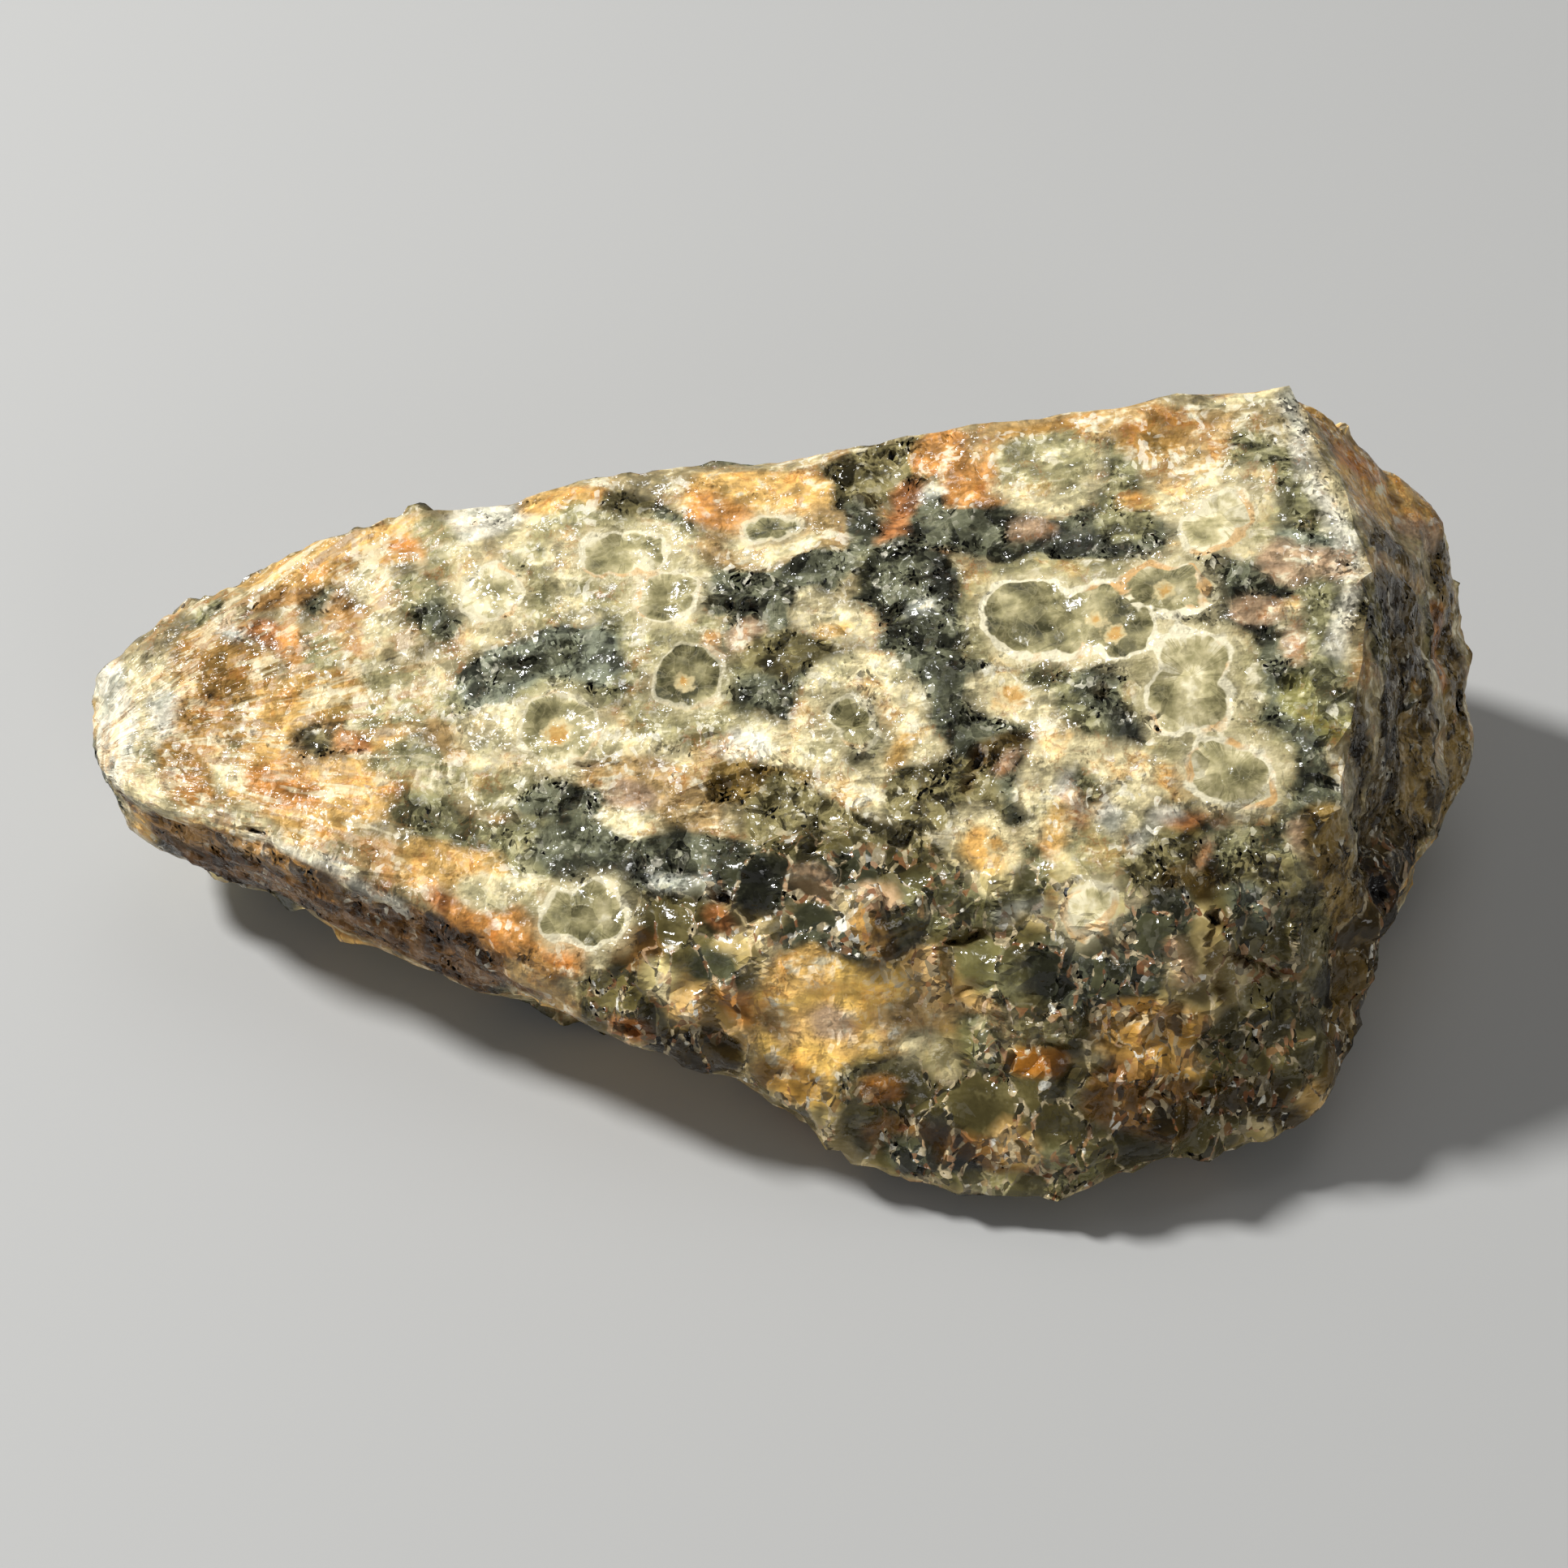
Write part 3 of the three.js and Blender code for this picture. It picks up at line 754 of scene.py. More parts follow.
def hidden_orbs(points, normals):
    """Seeded orbs for the sides that the view doesn't show."""
    chance = np.random.default_rng(SEED)
    facing = (normals * (view_axes()[0] - points)).sum(1)
    hidden = np.flatnonzero(facing < 0)
    shown = points[facing > 0][::SHOWN_STEP]
    centres = []
    for index in chance.permutation(hidden):
        point = points[index]
        radius = chance.uniform(*HIDDEN_RADIUS)
        if np.linalg.norm(shown - point, axis=1).min() < radius + HIDDEN_MARGIN:
            continue
        if all(np.linalg.norm(point - c) > r + HIDDEN_SPACING * radius for c, r, _ in centres):
            centres.append((point, radius, chance.random()))
        if len(centres) == HIDDEN_ORBS:
            break
    return centres


def orb_fields(points, normals, skin):
    """For each point: signed distance to the edge of its orb, the way from the orb's middle, the
    orb's tone and boldness, and signed distance to the edge of the nearest golden heart."""
    warped = points + wander(points, ORB_WANDER)
    orbs = []
    for lobes, tone, bold in ORBS.values():
        orbs.append(([(skin.at(pixel), radius) for pixel, radius in lobes], tone, bold))
    hearts = [(skin.at(pixel), radius) for pixel, radius in CORES.values()]
    for centre, radius, tone in hidden_orbs(points, normals):
        orbs.append(([(centre, radius)], tone, 0.5 + 0.5 * tone))
        if tone > HEART_TONE:
            hearts.append((centre, HEART_SHARE * radius))
    distance = np.full(len(points), NO_ORB)
    overgrown = distance.copy()
    tone_at = np.zeros(len(points))
    bold_at = np.zeros(len(points))
    away = np.zeros((len(points), 3))
    for lobes, tone, bold in orbs:
        gaps = np.stack([np.linalg.norm(warped - c, axis=1) - r for c, r in lobes])
        whole = -LOBE_BLEND * np.log(np.exp(-gaps / LOBE_BLEND).sum(0))
        gap = np.maximum(whole, -overgrown)
        overgrown = np.minimum(overgrown, whole)
        owns = gap < distance
        distance = np.where(owns, gap, distance)
        tone_at = np.where(owns, tone, tone_at)
        bold_at = np.where(owns, bold, bold_at)
        away = np.where(owns[:, None], points - np.mean([c for c, _ in lobes], axis=0), away)
    heart = np.min([np.linalg.norm(points - c, axis=1) - r for c, r in hearts], axis=0)
    distance = np.clip(distance, -FAR, FAR)
    return distance, away, tone_at, bold_at, np.clip(heart, -HEART_FAR, HEART_FAR)


LUMINANCE = np.array([0.2126, 0.7152, 0.0722])
DARK = (0.25, 0.08)            # luminance where the dark glass's relief begins, and is full
PALE_SHARE = 0.55              # how rough the pale skin is, beside the dark glass
BLOCK_SHARE = 0.7              # how much of that roughness the blocks take away
GRAIN = [(3.0, 0.16), (1.2, 0.08), (0.55, 0.05)]        # size and height of each layer of noise
CHIPS = [(2.6, 0.26, 11), (1.3, 0.15, 17), (0.7, 0.07, 37)]   # size, height and channel
CHIP_TILT = 1.3
LEDGES = (2.6, 0.16, 0.6)                               # width, step and strength of the ledges
CLEAVAGE = np.array([0.6, 1.0, 1.0])                    # chips are longer along the stone
STEEP = np.array([1.0, 0.9, 0.62])                      # blocks are taller on the steep sides
FURROWS = [(26, 0.10), (11, 0.14)]                      # fibres: how many to a turn, and depth
FURROW_ENDS = (-8, -20)                                 # from no depth to all of it, along X
FIBRE_HEART = np.array([-37.0, 2.0, 9.0])               # where they spread out from
BLOCKS = (1.9, 1.5, 23)                                 # size, tilt and channel
BLOCK_HEIGHT = 1.1             # how far blocks stand out, in their own sizes
BLOCK_RISE = 0.25              # and all of them by as much
BLOCK_SLOPE = 0.5              # how wide their edges are
SMALL_BLOCKS = (0.75, 1.4, 0.09, 31)                    # size, tilt, height and channel
PAST_CAD = 0.3                 # how far the relief may pass the box of the CAD
SMOOTH_ANGLE = math.radians(24)


def roughen(points, normals, shattered, dark, broken, depth):
    """Moves the fine points out and in along their normals: grain, chips, blocks and cracks."""
    height = -depth
    for layer, (size, amount) in enumerate(GRAIN):
        height += amount * soft_noise(points, size, 3 + layer)
    hackly = (PALE_SHARE + (1 - PALE_SHARE) * dark) * (1 - BLOCK_SHARE * shattered)
    width, step, strength = LEDGES
    height += strength * hackly * terraces(0.5 * soft_noise(points * CLEAVAGE, width, 21), step)
    for size, amount, channel in CHIPS:
        height += hackly * amount * chips(points * CLEAVAGE, size, CHIP_TILT, channel)[0]
    from_tip = points - FIBRE_HEART
    reach = np.linalg.norm(from_tip, axis=1)
    west = smooth_step(points[:, 0], *FURROW_ENDS)
    for count, amount in FURROWS:
        height += west * amount * soft_noise(from_tip / reach[:, None], 1 / count, 25)
    block, gap = broken
    height += shattered * smooth_step(gap, 0, BLOCK_SLOPE) * (BLOCK_HEIGHT * block + BLOCK_RISE)
    size, tilt, amount, channel = SMALL_BLOCKS
    height += amount * shattered * chips(points * STEEP, size, tilt, channel)[0]
    height[points[:, 2] < UNDERSIDE] = 0
    moved = points + normals * height[:, None]
    moved[:, 2] = np.maximum(moved[:, 2], 0)
    low, high = (np.array(corner) / MM for corner in cad_box)
    return np.clip(moved, low - PAST_CAD, high + PAST_CAD)


def add_field(mesh, name, values):
    kind, key = ("FLOAT_VECTOR", "vector") if values.ndim == 2 else ("FLOAT", "value")
    layer = mesh.attributes.new(name, kind, "POINT")
    layer.data.foreach_set(key, np.ascontiguousarray(values, dtype=np.float32).ravel())


SEAM = 0.26                    # half the width of the blend at a stroke's edge
UNSEEN_SEAM = 0.12             # the same for the unseen colours, in steps of noise
GLANCING = 20                  # how far behind the camera a face's plane is once fully in view
# Where the view doesn't reach, noise lays out the colours: each one's feature size in
# millimetres and the level of noise that it begins at.
UNSEEN_TINTS = {
    "cream": (5.5, 0.10), "gold": (6.5, 0.16), "dark": (5.0, 0.02), "tan": (3.2, 0.22),
    "olive": (4.2, 0.26), "rust": (3.0, 0.40), "black": (2.4, 0.42),
}
UNSEEN_ZONES = {"frost_and_glint": (FROST, 2.2, 0.45), "shattered": (SHATTERED, 9.0, 0.10)}


def seen_share(points, normals):
    """1 where the view sees the surface, fading to 0 where it doesn't."""
    return smooth_step((normals * (view_axes()[0] - points)).sum(1), 0, GLANCING)


def painted(points, normals, skin):
    """The stone's colour at each point, in Blender's linear values."""
    bent = points + wander(points, STROKE_WANDER)
    linear = {name: np.array(colour(*shade)[:3]) for name, shade in TINTS.items()}
    hidden = np.tile(linear["ground"], (len(points), 1))
    shown = hidden.copy()
    for layer, (name, (size, level)) in enumerate(UNSEEN_TINTS.items()):
        cover = smooth_step(soft_noise(bent, size, 40 + layer), level, level + UNSEEN_SEAM)
        hidden += cover[:, None] * (linear[name] - hidden)
    for name, half_width, *pixels in PAINT:
        gap = stroke_gap(bent, [skin.at(pixel) for pixel in pixels])
        cover = smooth_step(gap, half_width + SEAM, half_width - SEAM)
        shown += cover[:, None] * (linear[name] - shown)
    seen = seen_share(points, normals)[:, None]
    return seen * shown + (1 - seen) * hidden


def zone_fields(points, normals, skin):
    """The depth inside each zone at each point, in millimetres."""
    seen = seen_share(points, normals)
    bent = points + wander(points, ZONE_WANDER)
    fields = {}
    for layer, (name, (strokes, size, level)) in enumerate(UNSEEN_ZONES.items()):
        drawn = zone_depth(bent, skin, strokes)
        grown = (soft_noise(points, size, 60 + layer) - level) * size
        fields[name] = np.clip(seen * drawn + (1 - seen) * grown, -ZONE_FAR, ZONE_FAR)
    fields["shattered"] = np.minimum(fields["shattered"], -zone_depth(bent, skin, WHOLE))
    return fields


def make_stone():
    points, faces = welded(*mesh_arrays(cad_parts["stone"].data))
    skin = Skin(points, faces)
    arrises = [[skin.at(pixel) for pixel in pixels] for pixels in ARRISES.values()]
    for _ in range(HALVINGS):
        points, faces = halved(points, faces, arrises)
    normals = point_normals(points, faces)
    fields = zone_fields(points, normals, skin)
    shattered = smooth_step(fields["shattered"], -1.0, 1.0)
    tint = painted(points, normals, skin)
    dark = smooth_step(tint @ LUMINANCE, *DARK)
    broken = chips(points * STEEP + wander(points, BLOCK_WANDER), *BLOCKS)
    cracks, depth = crack_fields(points + wander(points, CRACK_WANDER), skin)
    moved = roughen(points, normals, shattered, dark, broken, depth)

    mesh = bpy.data.meshes.new("rough_stone")
    mesh.from_pydata((moved * MM).tolist(), [], faces.tolist())
    mesh.shade_smooth()
    mesh.set_sharp_from_angle(angle=SMOOTH_ANGLE)
    for name, values in fields.items():
        add_field(mesh, name, values)
    add_field(mesh, "tint", tint)
    orb_names = ("orb", "away", "tone", "bold", "heart")
    for name, values in zip(orb_names, orb_fields(points, normals, skin)):
        add_field(mesh, name, values)
    add_field(mesh, "crack", cracks)
    stone = bpy.data.objects.new("rough_stone", mesh)
    bpy.context.scene.collection.objects.link(stone)
    mesh.materials.append(jasper_material())
    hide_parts("stone")
    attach(stone, "root")
    return stone


# ---------------------------------------------------------------- the material


def colour(red, green, blue):
    """A colour given as 0 to 255 on screen, as Blender's linear values."""
    shares = [v / 255 for v in (red, green, blue)]
    return (*(v / 12.92 if v <= 0.04 else ((v + 0.055) / 1.055) ** 2.4 for v in shares), 1)


# The colours that the material adds to the painted ones.
MILK = colour(240, 230, 194)
# chalky specks, whitened in dark glass as painted glints
CHALK_AND_GLINT = colour(240, 234, 212)
RUSTY_VEIN = colour(154, 98, 50)
BROWN_FIBRE = colour(164, 114, 58)
CREAM_FIBRE = colour(240, 226, 184)
CREAM_CRUMB = colour(220, 200, 158)
RUSTY_CRUMB = colour(168, 108, 66)
# white specks among the crumbs: painted sparkles
PAINTED_SPARKLE = colour(244, 240, 224)
HALO = (colour(172, 156, 106), colour(242, 228, 182))
RING = (colour(250, 240, 204), colour(228, 176, 104))
ORB_GLASS = [
    (0.0, colour(72, 70, 46)), (0.3, colour(120, 114, 78)), (0.6, colour(166, 157, 112)),
    (0.85, colour(208, 196, 150)), (1.0, colour(238, 228, 190)),
]
ORB_SEAM = colour(214, 200, 154)
HEART_RIM = colour(232, 212, 158)
HEART = (colour(184, 126, 56), colour(238, 200, 124))
PIT_SIDE = colour(92, 58, 32)
# nearly black: painted shade at the bottom of the pits, cracks and the end's hollow
PIT_SHADE = colour(22, 15, 9)
# What it multiplies them by, in dusky and golden places and in windows of dark glass.
DUSKY = (0.55, 0.59, 0.56)
GOLDEN = (1.06, 0.78, 0.5)
WINDOW = (1.0, 0.96, 0.72)
# The light that a thin film and a crushed seam add to them.
FILM_LIGHT = (0.02, 0.02, 0.012)
SEAM_LIGHT = (0.12, 0.11, 0.08)
GLASSY = (0.26, 0.09)          # brightness where the skin begins to be glass, and is all glass


class Nodes:
    """Short calls that add nodes to a material and return their output sockets."""

    def __init__(self, material):
        material.use_nodes = True
        self.tree = material.node_tree
        self.tree.nodes.clear()

    def new(self, kind, inputs=None, **settings):
        node = self.tree.nodes.new(kind)
        for name, value in settings.items():
            setattr(node, name, value)
        for key, value in (inputs or {}).items():
            self.feed(node.inputs[key], value)
        return node

    def feed(self, socket, value):
        if isinstance(value, bpy.types.NodeSocket):
            self.tree.links.new(value, socket)
        else:
            socket.default_value = value

    def math(self, operation, a, b=0.0):
        return self.new("ShaderNodeMath", {0: a, 1: b}, operation=operation).outputs[0]

    def add(self, a, b):
        return self.math("ADD", a, b)

    def times(self, a, b):
        return self.math("MULTIPLY", a, b)

    def vector(self, operation, a, b=(0, 0, 0), scale=1.0):
        inputs = {0: a, 1: b, 3: scale}
        return self.new("ShaderNodeVectorMath", inputs, operation=operation).outputs[0]

    def scaled(self, a, scale):
        return self.vector("SCALE", a, scale=scale)

    def stretched(self, a, factors):
        return self.vector("MULTIPLY", a, factors)

    def moved(self, a, shift):
        return self.vector("ADD", a, tuple(shift))

    def joined(self, a, b):
        return self.vector("ADD", a, b)

    def unit(self, a):
        return self.vector("NORMALIZE", a)

    def joined_colour(self, parts):
        return self.new("ShaderNodeCombineXYZ", {0: parts[0], 1: parts[1], 2: parts[2]}).outputs[0]

    def part(self, a, axis):
        return self.new("ShaderNodeSeparateXYZ", {0: a}).outputs[axis]

    def blend(self, share, a, b):
        """A number between a and b."""
        inputs = {"Factor": share, "A": a, "B": b}
        return self.new("ShaderNodeMix", inputs, data_type="FLOAT").outputs["Result"]

    def bent(self, place, size, amount):
        """A place moved about by noise."""
        inputs = {"Vector": place, "Scale": 1 / size, "Detail": 0.0}
        shift = self.new("ShaderNodeTexNoise", inputs).outputs["Color"]
        return self.joined(place, self.scaled(self.moved(shift, (-0.5, -0.5, -0.5)), amount * 2))

    def range(self, value, low, high, to_low=0.0, to_high=1.0):
        inputs = {
            "Value": value, "From Min": low, "From Max": high, "To Min": to_low, "To Max": to_high,
        }
        return self.new("ShaderNodeMapRange", inputs, interpolation_type="SMOOTHSTEP").outputs[0]

    def field(self, name, output="Fac"):
        return self.new("ShaderNodeAttribute", attribute_name=name).outputs[output]

    def noise(self, place, size, detail=2.0, roughness=0.5, distortion=0.0):
        inputs = {
            "Vector": place, "Scale": 1 / size, "Detail": detail,
            "Roughness": roughness, "Distortion": distortion,
        }
        return self.new("ShaderNodeTexNoise", inputs).outputs["Fac"]

    def ramp(self, value, stops):
        node = self.new("ShaderNodeValToRGB", {"Fac": value})
        elements = node.color_ramp.elements
        while len(elements) < len(stops):
            elements.new(0.5)
        for element, (position, shade) in zip(elements, stops):
            element.position = position
            element.color = shade
        return node.outputs["Color"]

    def mix(self, share, a, b):
        """A colour between a and b."""
        node = self.new("ShaderNodeMix", data_type="RGBA")
        self.feed(node.inputs[0], share)
        self.feed(node.inputs[6], a)
        self.feed(node.inputs[7], b)
        return node.outputs[2]


FIBRE_STRETCH = (0.45, 1.0, 1.0)
GRIT = 0.28                    # sizes of the three kinds of broken cell
FLAKE = 0.9
BLOCK = 2.0


class Grains:
    """The noises and broken cells that the layers of the material share. Noises and the cells'
    own numbers run from 0 to 1; sizes and distances are in millimetres."""

    def __init__(self, n):
        place = n.new("ShaderNodeTexCoord").outputs["Object"]
        self.place = n.scaled(place, 1 / MM)
        self.crumb = n.noise(self.place, 0.42, 2, 0.55)
        self.patch = n.noise(self.place, 1.6, 3, 0.5)
        self.haze = n.noise(self.place, 4.5, 2, 0.5)
        self.stain = n.noise(n.moved(self.place, (9, 4, 2)), 2.0, 3, 0.6)
        self.bent = n.bent(n.bent(n.stretched(self.place, tuple(STEEP)), 0.9, 0.3), 0.25, 0.05)
        self.grit = self.cells(n, GRIT)[0]
        self.flake, self.bulge = self.cells(n, FLAKE)
        self.seam = self.edges(n, FLAKE)
        self.block = self.cells(n, BLOCK)[0]
        self.border = self.edges(n, BLOCK)
        ridge = n.math("ABSOLUTE", n.add(n.noise(self.bent, 0.9, 3, 0.6), -0.5))
        self.vein = n.range(ridge, 0.035, 0.0)
        self.streak = self.streaks(n)
        self.fibre = n.noise(n.unit(n.field("away", "Vector")), 0.12, 2, 0.6, 0.6)

    def cells(self, n, size):
        """Three random numbers for each cell, and how far its middle is, in cells."""
        cell = n.new("ShaderNodeTexVoronoi", {"Vector": self.bent, "Scale": 1 / size})
        numbers = n.new("ShaderNodeSeparateColor", {"Color": cell.outputs["Color"]}).outputs
        return numbers, cell.outputs["Distance"]

    def edges(self, n, size):
        """How far the edge of the cell is."""
        inputs = {"Vector": self.bent, "Scale": 1 / size}
        cell = n.new("ShaderNodeTexVoronoi", inputs, feature="DISTANCE_TO_EDGE")
        return n.times(cell.outputs["Distance"], size)

    def streaks(self, n):
        """Fibres that run along the stone, and spread out from its pale tip."""
        from_tip = n.moved(self.place, -FIBRE_HEART)
        self.spread = n.noise(n.scaled(n.unit(from_tip), 30), 1.0, 2, 0.6)
        along = n.noise(n.stretched(self.place, FIBRE_STRETCH), 0.45, 2, 0.6)
        east = n.part(self.place, "X")
        return n.blend(n.range(east, -22, -8), self.spread, along)


def swing(n, total, *noises):
    """Adds noises to a running total, each about its middle and with its own strength."""
    for shared, strength in noises:
        total = n.add(total, n.times(n.add(shared, -0.5), strength))
    return total


def mottle(n, g, patch, crumb, streak, flake):
    """A sum of the shared noises about 0.5, with the given strengths."""
    strengths = (g.patch, patch), (g.crumb, crumb), (g.streak, streak), (g.flake[0], flake)
    return swing(n, 0.5, *strengths)


def ground_layer(n, g, glass):
    """The painted colours, mottled, with dusky, stained and milky places."""
    tint = n.field("tint", "Color")
    clear = n.range(glass, 0, 1, 1.0, 0.1)
    light = n.range(mottle(n, g, 1.6, 0.4, 1.0, 0.2), 0.1, 0.9, 0.48, 1.31)
    skin = n.scaled(tint, light)
    dusky = n.range(swing(n, g.stain, (g.crumb, 0.2)), 0.47, 0.36, 0.0, 0.66)
    skin = n.mix(n.times(dusky, clear), skin, n.stretched(skin, DUSKY))
    golden = n.range(swing(n, g.stain, (g.patch, 0.3)), 0.53, 0.66, 0.0, 0.7)
    skin = n.mix(n.times(golden, clear), skin, n.stretched(skin, GOLDEN))
    milky = n.range(mottle(n, g, 1.3, 0.4, 1.2, 0.3), 0.6, 0.95)
    skin = n.mix(n.times(milky, clear), skin, MILK)
    return crumbled(n, g, skin, glass, clear)


def crumbled(n, g, skin, glass, clear):
    """Crisp crumbs and flakes, with pale seams in dark glass and rusty veins elsewhere."""
    tint = n.field("tint", "Color")
    grit = n.range(g.grit[0], 0.0, 1.0, n.blend(glass, 0.8, 0.68), n.blend(glass, 1.18, 1.35))
    flake = n.range(g.flake[1], 0.0, 1.0, n.blend(glass, 0.88, 0.5), n.blend(glass, 1.12, 1.7))
    skin = n.scaled(skin, n.times(grit, flake))
    crushed = n.range(swing(n, g.patch, (g.haze, 0.6)), 0.48, 0.6)
    # chalky specks, more and whiter in dark glass, where they are painted glints
    chalk_and_glint = n.times(n.range(g.grit[1], 0.80, 0.84), n.times(crushed, n.blend(glass, 0.6, 0.85)))
    skin = n.mix(chalk_and_glint, skin, CHALK_AND_GLINT)
    film = n.range(swing(n, g.patch, (g.streak, 0.5), (g.flake[2], 0.15)), 0.45, 0.6)
    filmy = n.joined(n.scaled(tint, 2.4), FILM_LIGHT)
    skin = n.mix(n.times(film, n.times(glass, 0.75)), skin, filmy)
    fracture = n.math("MAXIMUM", g.vein, n.range(g.seam, 0.04, 0.0))
    pale = n.times(n.times(fracture, crushed), n.times(glass, 0.35))
    skin = n.mix(pale, skin, n.joined(n.scaled(tint, 4.0), SEAM_LIGHT))
    rusty = n.times(n.times(g.vein, n.range(g.stain, 0.48, 0.6)), n.times(clear, 0.5))
    return n.mix(rusty, skin, RUSTY_VEIN)


def fibre_layer(n, g, skin, glass):
    """Fine brown and cream fibres where the stone spreads out from its pale tip."""
    east = n.part(g.place, "X")
    west = n.times(n.range(east, -14, -22), n.range(east, -34.5, -30, 0.4, 1.0))
    west = n.times(west, n.range(glass, 0.0, 1.0, 0.6, 0.06))
    brown = n.range(swing(n, g.spread, (g.patch, 0.7)), 0.53, 0.64)
    skin = n.mix(n.times(brown, west), skin, BROWN_FIBRE)
    pale = n.range(swing(n, g.spread, (g.patch, -0.7)), 0.45, 0.35)
    return n.mix(n.times(pale, west), skin, CREAM_FIBRE)


def block_layer(n, g, skin):
    """Broken blocks: whole ones are smooth dark windows with pale seams, and the others have
    fallen into flakes and crumbs. Also gives where the windows and the whole blocks are."""
    tint = n.field("tint", "Color")
    mask = n.range(swing(n, n.field("shattered"), (g.patch, 3.0)), -0.8, 0.8)
    whole = n.range(g.block[0], 0.56, 0.53)
    gap = swing(n, n.blend(whole, g.seam, n.times(g.border, 0.5)), (g.crumb, 0.12))
    shade = n.blend(whole, g.flake[1], n.times(g.block[1], 0.8))
    lit = n.range(gap, 0.0, 0.4, 1.5, 0.8)
    # windows and crumbs are dark: partly the dark glass's own colour, partly painted shade on the
    # broken front and end
    window = n.scaled(tint, n.times(n.range(shade, 0.0, 1.0, 0.12, 0.95), lit))
    window = n.stretched(window, WINDOW)
    film = n.range(swing(n, g.stain, (g.crumb, 0.4)), 0.5, 0.7, 0.0, 0.5)
    window = n.mix(film, window, n.scaled(tint, 2.0))
    crumbs = n.scaled(tint, n.range(g.grit[0], 0.0, 1.0, 0.15, 2.0))
    pale = n.scaled(CREAM_CRUMB[:3], n.range(g.grit[0], 0.0, 1.0, 0.35, 1.1))
    crumbs = n.mix(n.range(g.grit[1], 0.64, 0.68, 0.0, 0.85), crumbs, pale)
    crumbs = n.mix(n.range(g.grit[2], 0.8, 0.84, 0.0, 0.5), crumbs, RUSTY_CRUMB)
    among = n.range(swing(n, g.stain, (g.patch, 0.4)), 0.47, 0.56)
    # painted sparkles: white specks among the crumbs
    painted_sparkles = n.times(n.range(g.grit[0], 0.92, 0.93), among)
    crumbs = n.mix(painted_sparkles, crumbs, PAINTED_SPARKLE)
    kept = n.math("MAXIMUM", whole, n.range(g.flake[2], 0.62, 0.58))
    glassy = n.times(n.range(gap, 0.03, 0.08), kept)
    blocks = n.mix(glassy, crumbs, window)
    skin = n.mix(n.times(mask, 0.92), skin, blocks)
    return skin, (n.times(glassy, mask), n.times(whole, mask))


def orb_layers(n, g, skin):
    """The orbs: fibres, a soft halo, a lumpy cream ring, and a glassy sage or olive inside. Also
    gives how far inside they are."""
    edge = n.add(n.field("orb"), n.times(n.add(g.bulge, -0.45), 0.36))
    edge = swing(n, edge, (g.patch, 0.15), (g.crumb, 0.1))
    bold = n.field("bold")
    fibres = n.add(g.fibre, n.times(n.range(edge, 0.2, 1.4), 0.5))
    fibres = n.range(fibres, 0.3, 0.7, n.range(bold, 0.0, 0.2, 0.7, 0.88), 1.1)
    # painted sunlight: inside orbs without a ring, such as the gold orb, the colours are lightened
    # up to 1.8 times
    painted_sunlight = n.times(n.range(edge, 0.4, -0.4), n.range(bold, 0.1, 0.0))
    skin = n.scaled(skin, n.times(fibres, n.range(painted_sunlight, 0.0, 1.0, 1.0, 1.8)))
    skin = n.mix(n.times(painted_sunlight, 0.6), skin, n.scaled(n.field("tint", "Color"), 1.3))
    halo = n.times(n.range(edge, 1.2, 0.1), n.range(g.patch, 0.35, 0.62, 0.35, 0.9))
    glow = n.mix(n.add(n.add(g.stain, -0.1), n.range(edge, 0.6, 0.15, 0.0, 0.35)), *HALO)
    skin = n.mix(n.times(halo, bold), skin, glow)
    within = n.times(n.range(edge, 0.02, -0.12), n.range(bold, 0.12, 0.25))
    skin = n.mix(within, skin, orb_inside(n, g, edge))
    width = n.range(g.stain, 0.36, 0.62, 0.05, 0.2)
    ring = n.range(n.math("SUBTRACT", n.math("ABSOLUTE", edge), width), 0.06, -0.03)
    stained = n.range(swing(n, g.haze, (g.patch, 0.7)), 0.52, 0.62, 0.0, 0.85)
    cream = n.mix(stained, *RING)
    cream = n.scaled(cream, n.range(g.grit[0], 0.0, 1.0, 0.84, 1.06))
    skin = n.mix(n.times(ring, bold), skin, cream)
    heart = swing(n, n.field("heart"), (g.crumb, 0.8), (g.patch, 0.8))
    skin = n.mix(n.range(heart, 0.22, 0.0, 0.0, 0.8), skin, HEART_RIM)
    gold = n.mix(g.crumb, *HEART)
    return n.mix(n.range(heart, 0.0, -0.25), skin, gold), within


def orb_inside(n, g, edge):
    """Clouded glass, with fine dark ticks just inside the ring."""
    ticks = n.times(n.range(g.fibre, 0.52, 0.62), n.range(edge, -0.9, -0.3))
    pale = swing(n, n.field("tone"), (g.patch, 2.0), (g.crumb, 0.5))
    pale = swing(n, n.add(pale, n.times(ticks, -0.2)), (g.stain, 1.2))
    pale = n.add(pale, n.range(edge, -0.55, -0.1, 0.04, 0.2))
    inside = n.ramp(pale, ORB_GLASS)
    inside = n.scaled(inside, n.range(g.flake[1], 0.0, 1.0, 0.86, 1.12))
    seam = n.times(n.math("MAXIMUM", g.vein, n.range(g.seam, 0.04, 0.0)), 0.16)
    inside = n.mix(seam, inside, ORB_SEAM)
    return n.scaled(inside, n.range(g.grit[0], 0.0, 1.0, 0.92, 1.07))


def crack_layer(n, g, skin):
    """Pits and cracks, with stained sides and painted shade at their bottoms."""
    crack = swing(n, n.field("crack"), (g.crumb, 0.55), (g.grit[2], 0.12))
    skin = n.mix(n.times(n.range(crack, -0.4, 0.0), 0.4), skin, PIT_SIDE)
    return n.mix(n.range(crack, -0.02, 0.08), skin, PIT_SHADE)


def tilt(n, numbers, amount):
    """A cell's random numbers as a shift of its normal."""
    return n.scaled(n.moved(n.joined_colour(numbers), (-0.5, -0.5, -0.5)), amount)


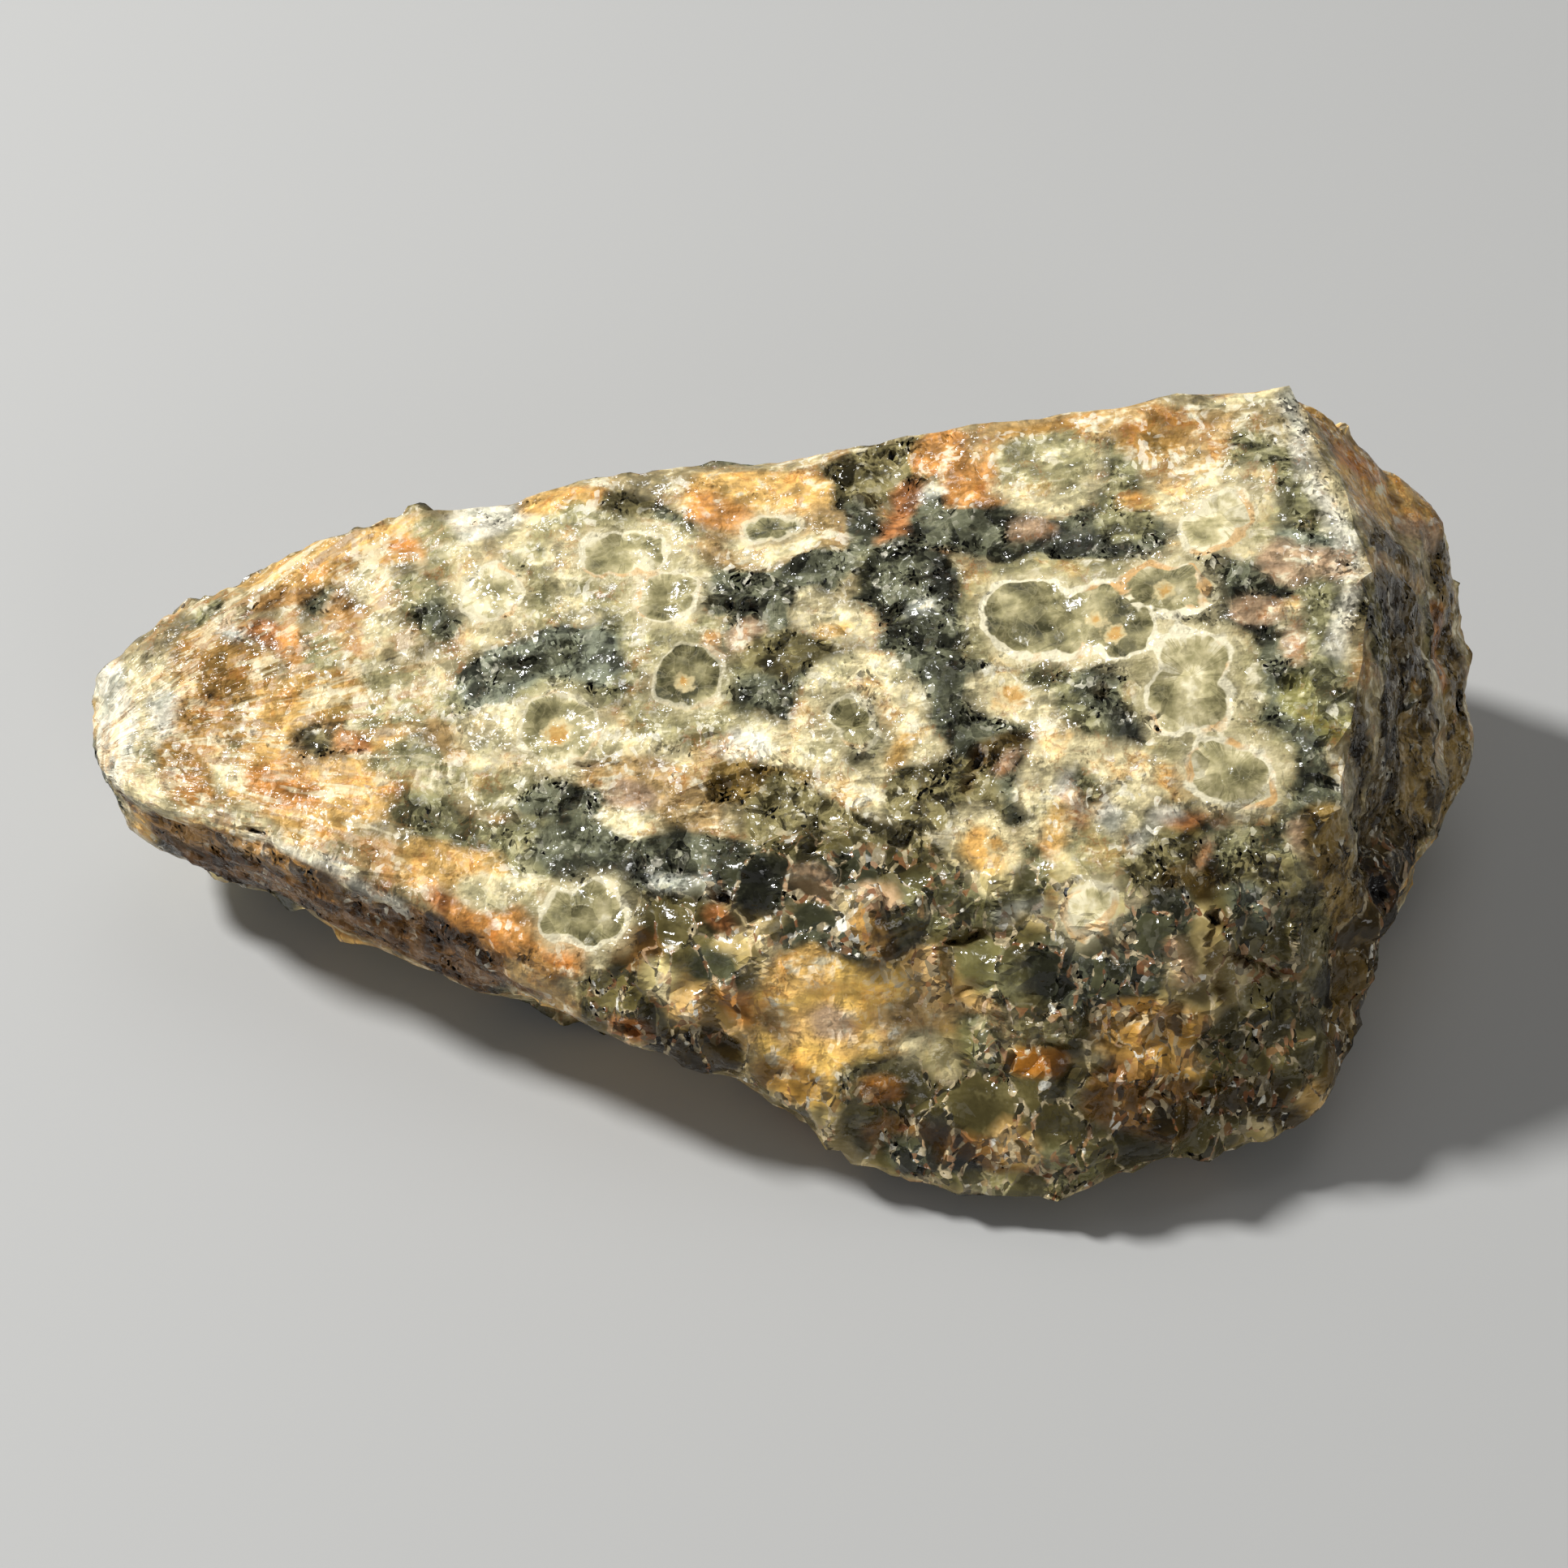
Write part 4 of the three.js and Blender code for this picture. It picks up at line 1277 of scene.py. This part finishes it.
def broken_surface(n, g, glass, blocks, polished):
    """The normal and roughness of fine crystal faces, some tilted enough to glint."""
    glassy, whole = blocks
    clusters = n.range(n.noise(g.place, 1.3, 1, 0.5), 0.45, 0.63)
    frost_and_glint = n.range(n.field("frost_and_glint"), -0.4, 0.3)
    calm = n.times(n.range(glassy, 1.0, 0.0, 0.2, 1.0), n.range(polished, 1.0, 0.0, 0.35, 1.0))
    sparkle = n.times(n.add(n.times(clusters, n.add(0.35, glass)), n.times(frost_and_glint, 0.6)), calm)
    flat = n.range(whole, 1.0, 0.0)
    block = tilt(n, g.block, n.times(whole, 0.7))
    flake = tilt(n, g.flake, n.times(n.add(0.3, n.times(glass, 0.55)), flat))
    chip = tilt(n, g.grit, n.times(n.add(0.38, n.times(glass, 0.4)), calm))
    glint = tilt(n, g.cells(n, 0.16)[0], n.times(sparkle, 1.6))
    relief = swing(n, n.times(g.crumb, 0.5), (g.streak, 0.5))
    strength = n.range(calm, 0.0, 1.0, 0.3, 0.9)
    bump = n.new("ShaderNodeBump", {"Strength": strength, "Distance": 0.2 * MM, "Height": relief})
    normal = n.joined(n.joined(n.joined(n.joined(bump.outputs[0], block), flake), chip), glint)
    dull = swing(n, 0.42, (g.flake[1], 0.4), (g.crumb, 0.4))
    dull = n.add(dull, n.times(n.add(glass, n.add(glassy, polished)), -0.16))
    return n.unit(normal), n.range(dull, 0.1, 0.8, 0.12, 0.6)


def jasper_material():
    material = bpy.data.materials.new("jasper")
    n = Nodes(material)
    g = Grains(n)
    brightness = n.new("ShaderNodeRGBToBW", {0: n.field("tint", "Color")}).outputs[0]
    glass = n.range(brightness, *GLASSY)
    skin = fibre_layer(n, g, ground_layer(n, g, glass), glass)
    skin, blocks = block_layer(n, g, skin)
    skin, polished = orb_layers(n, g, skin)
    skin = crack_layer(n, g, skin)
    normal, roughness = broken_surface(n, g, glass, blocks, polished)
    shader = n.new("ShaderNodeBsdfPrincipled", {
        "Base Color": skin, "Roughness": roughness, "Normal": normal, "IOR": 1.5,
        "Specular IOR Level": 0.35,
    })
    n.new("ShaderNodeOutputMaterial", {"Surface": shader.outputs[0]})
    return material


# ---------------------------------------------------------------- floor and light

FLOOR_HALF = 1500
FLOOR_COLOUR = colour(184, 184, 182)
# Each soft box: the way to it, its distance and size in millimetres, and its power in watts.
SOFT_BOXES = {
    "key": ((-0.62, 0.25, 0.74), 700, 110, 5.6),
    "overhead": ((0.1, 0.5, 1.0), 900, 600, 0.8),
    "front": ((0.45, -1.0, 0.6), 900, 260, 0.65),
}
WORLD_LIGHT = 0.16


def make_floor():
    mesh = bpy.data.meshes.new("floor")
    half = FLOOR_HALF * MM
    corners = [(-half, -half, 0), (half, -half, 0), (half, half, 0), (-half, half, 0)]
    mesh.from_pydata(corners, [], [(0, 1, 2, 3)])
    floor = bpy.data.objects.new("floor", mesh)
    bpy.context.scene.collection.objects.link(floor)
    material = bpy.data.materials.new("floor")
    n = Nodes(material)
    shader = n.new("ShaderNodeBsdfPrincipled", {"Base Color": FLOOR_COLOUR, "Roughness": 0.7})
    n.new("ShaderNodeOutputMaterial", {"Surface": shader.outputs[0]})
    mesh.materials.append(material)


def soft_box(name, towards, distance, size, power):
    data = bpy.data.lights.new(name, "AREA")
    data.shape = "DISK"
    data.size = size * MM
    data.energy = power
    lamp = bpy.data.objects.new(name, data)
    bpy.context.scene.collection.objects.link(lamp)
    direction = Vector(towards).normalized()
    lamp.location = direction * distance * MM
    lamp.rotation_euler = (-direction).to_track_quat("-Z", "Y").to_euler()


def make_light():
    for name, settings in SOFT_BOXES.items():
        soft_box(name, *settings)
    world = bpy.data.worlds.new("studio")
    bpy.context.scene.world = world
    n = Nodes(world)
    background = n.new("ShaderNodeBackground", {"Color": (1, 1, 1, 1), "Strength": WORLD_LIGHT})
    n.new("ShaderNodeOutputWorld", {"Surface": background.outputs[0]})
    bpy.context.scene.view_settings.view_transform = "Standard"


make_camera()
make_stone()
make_floor()
make_light()
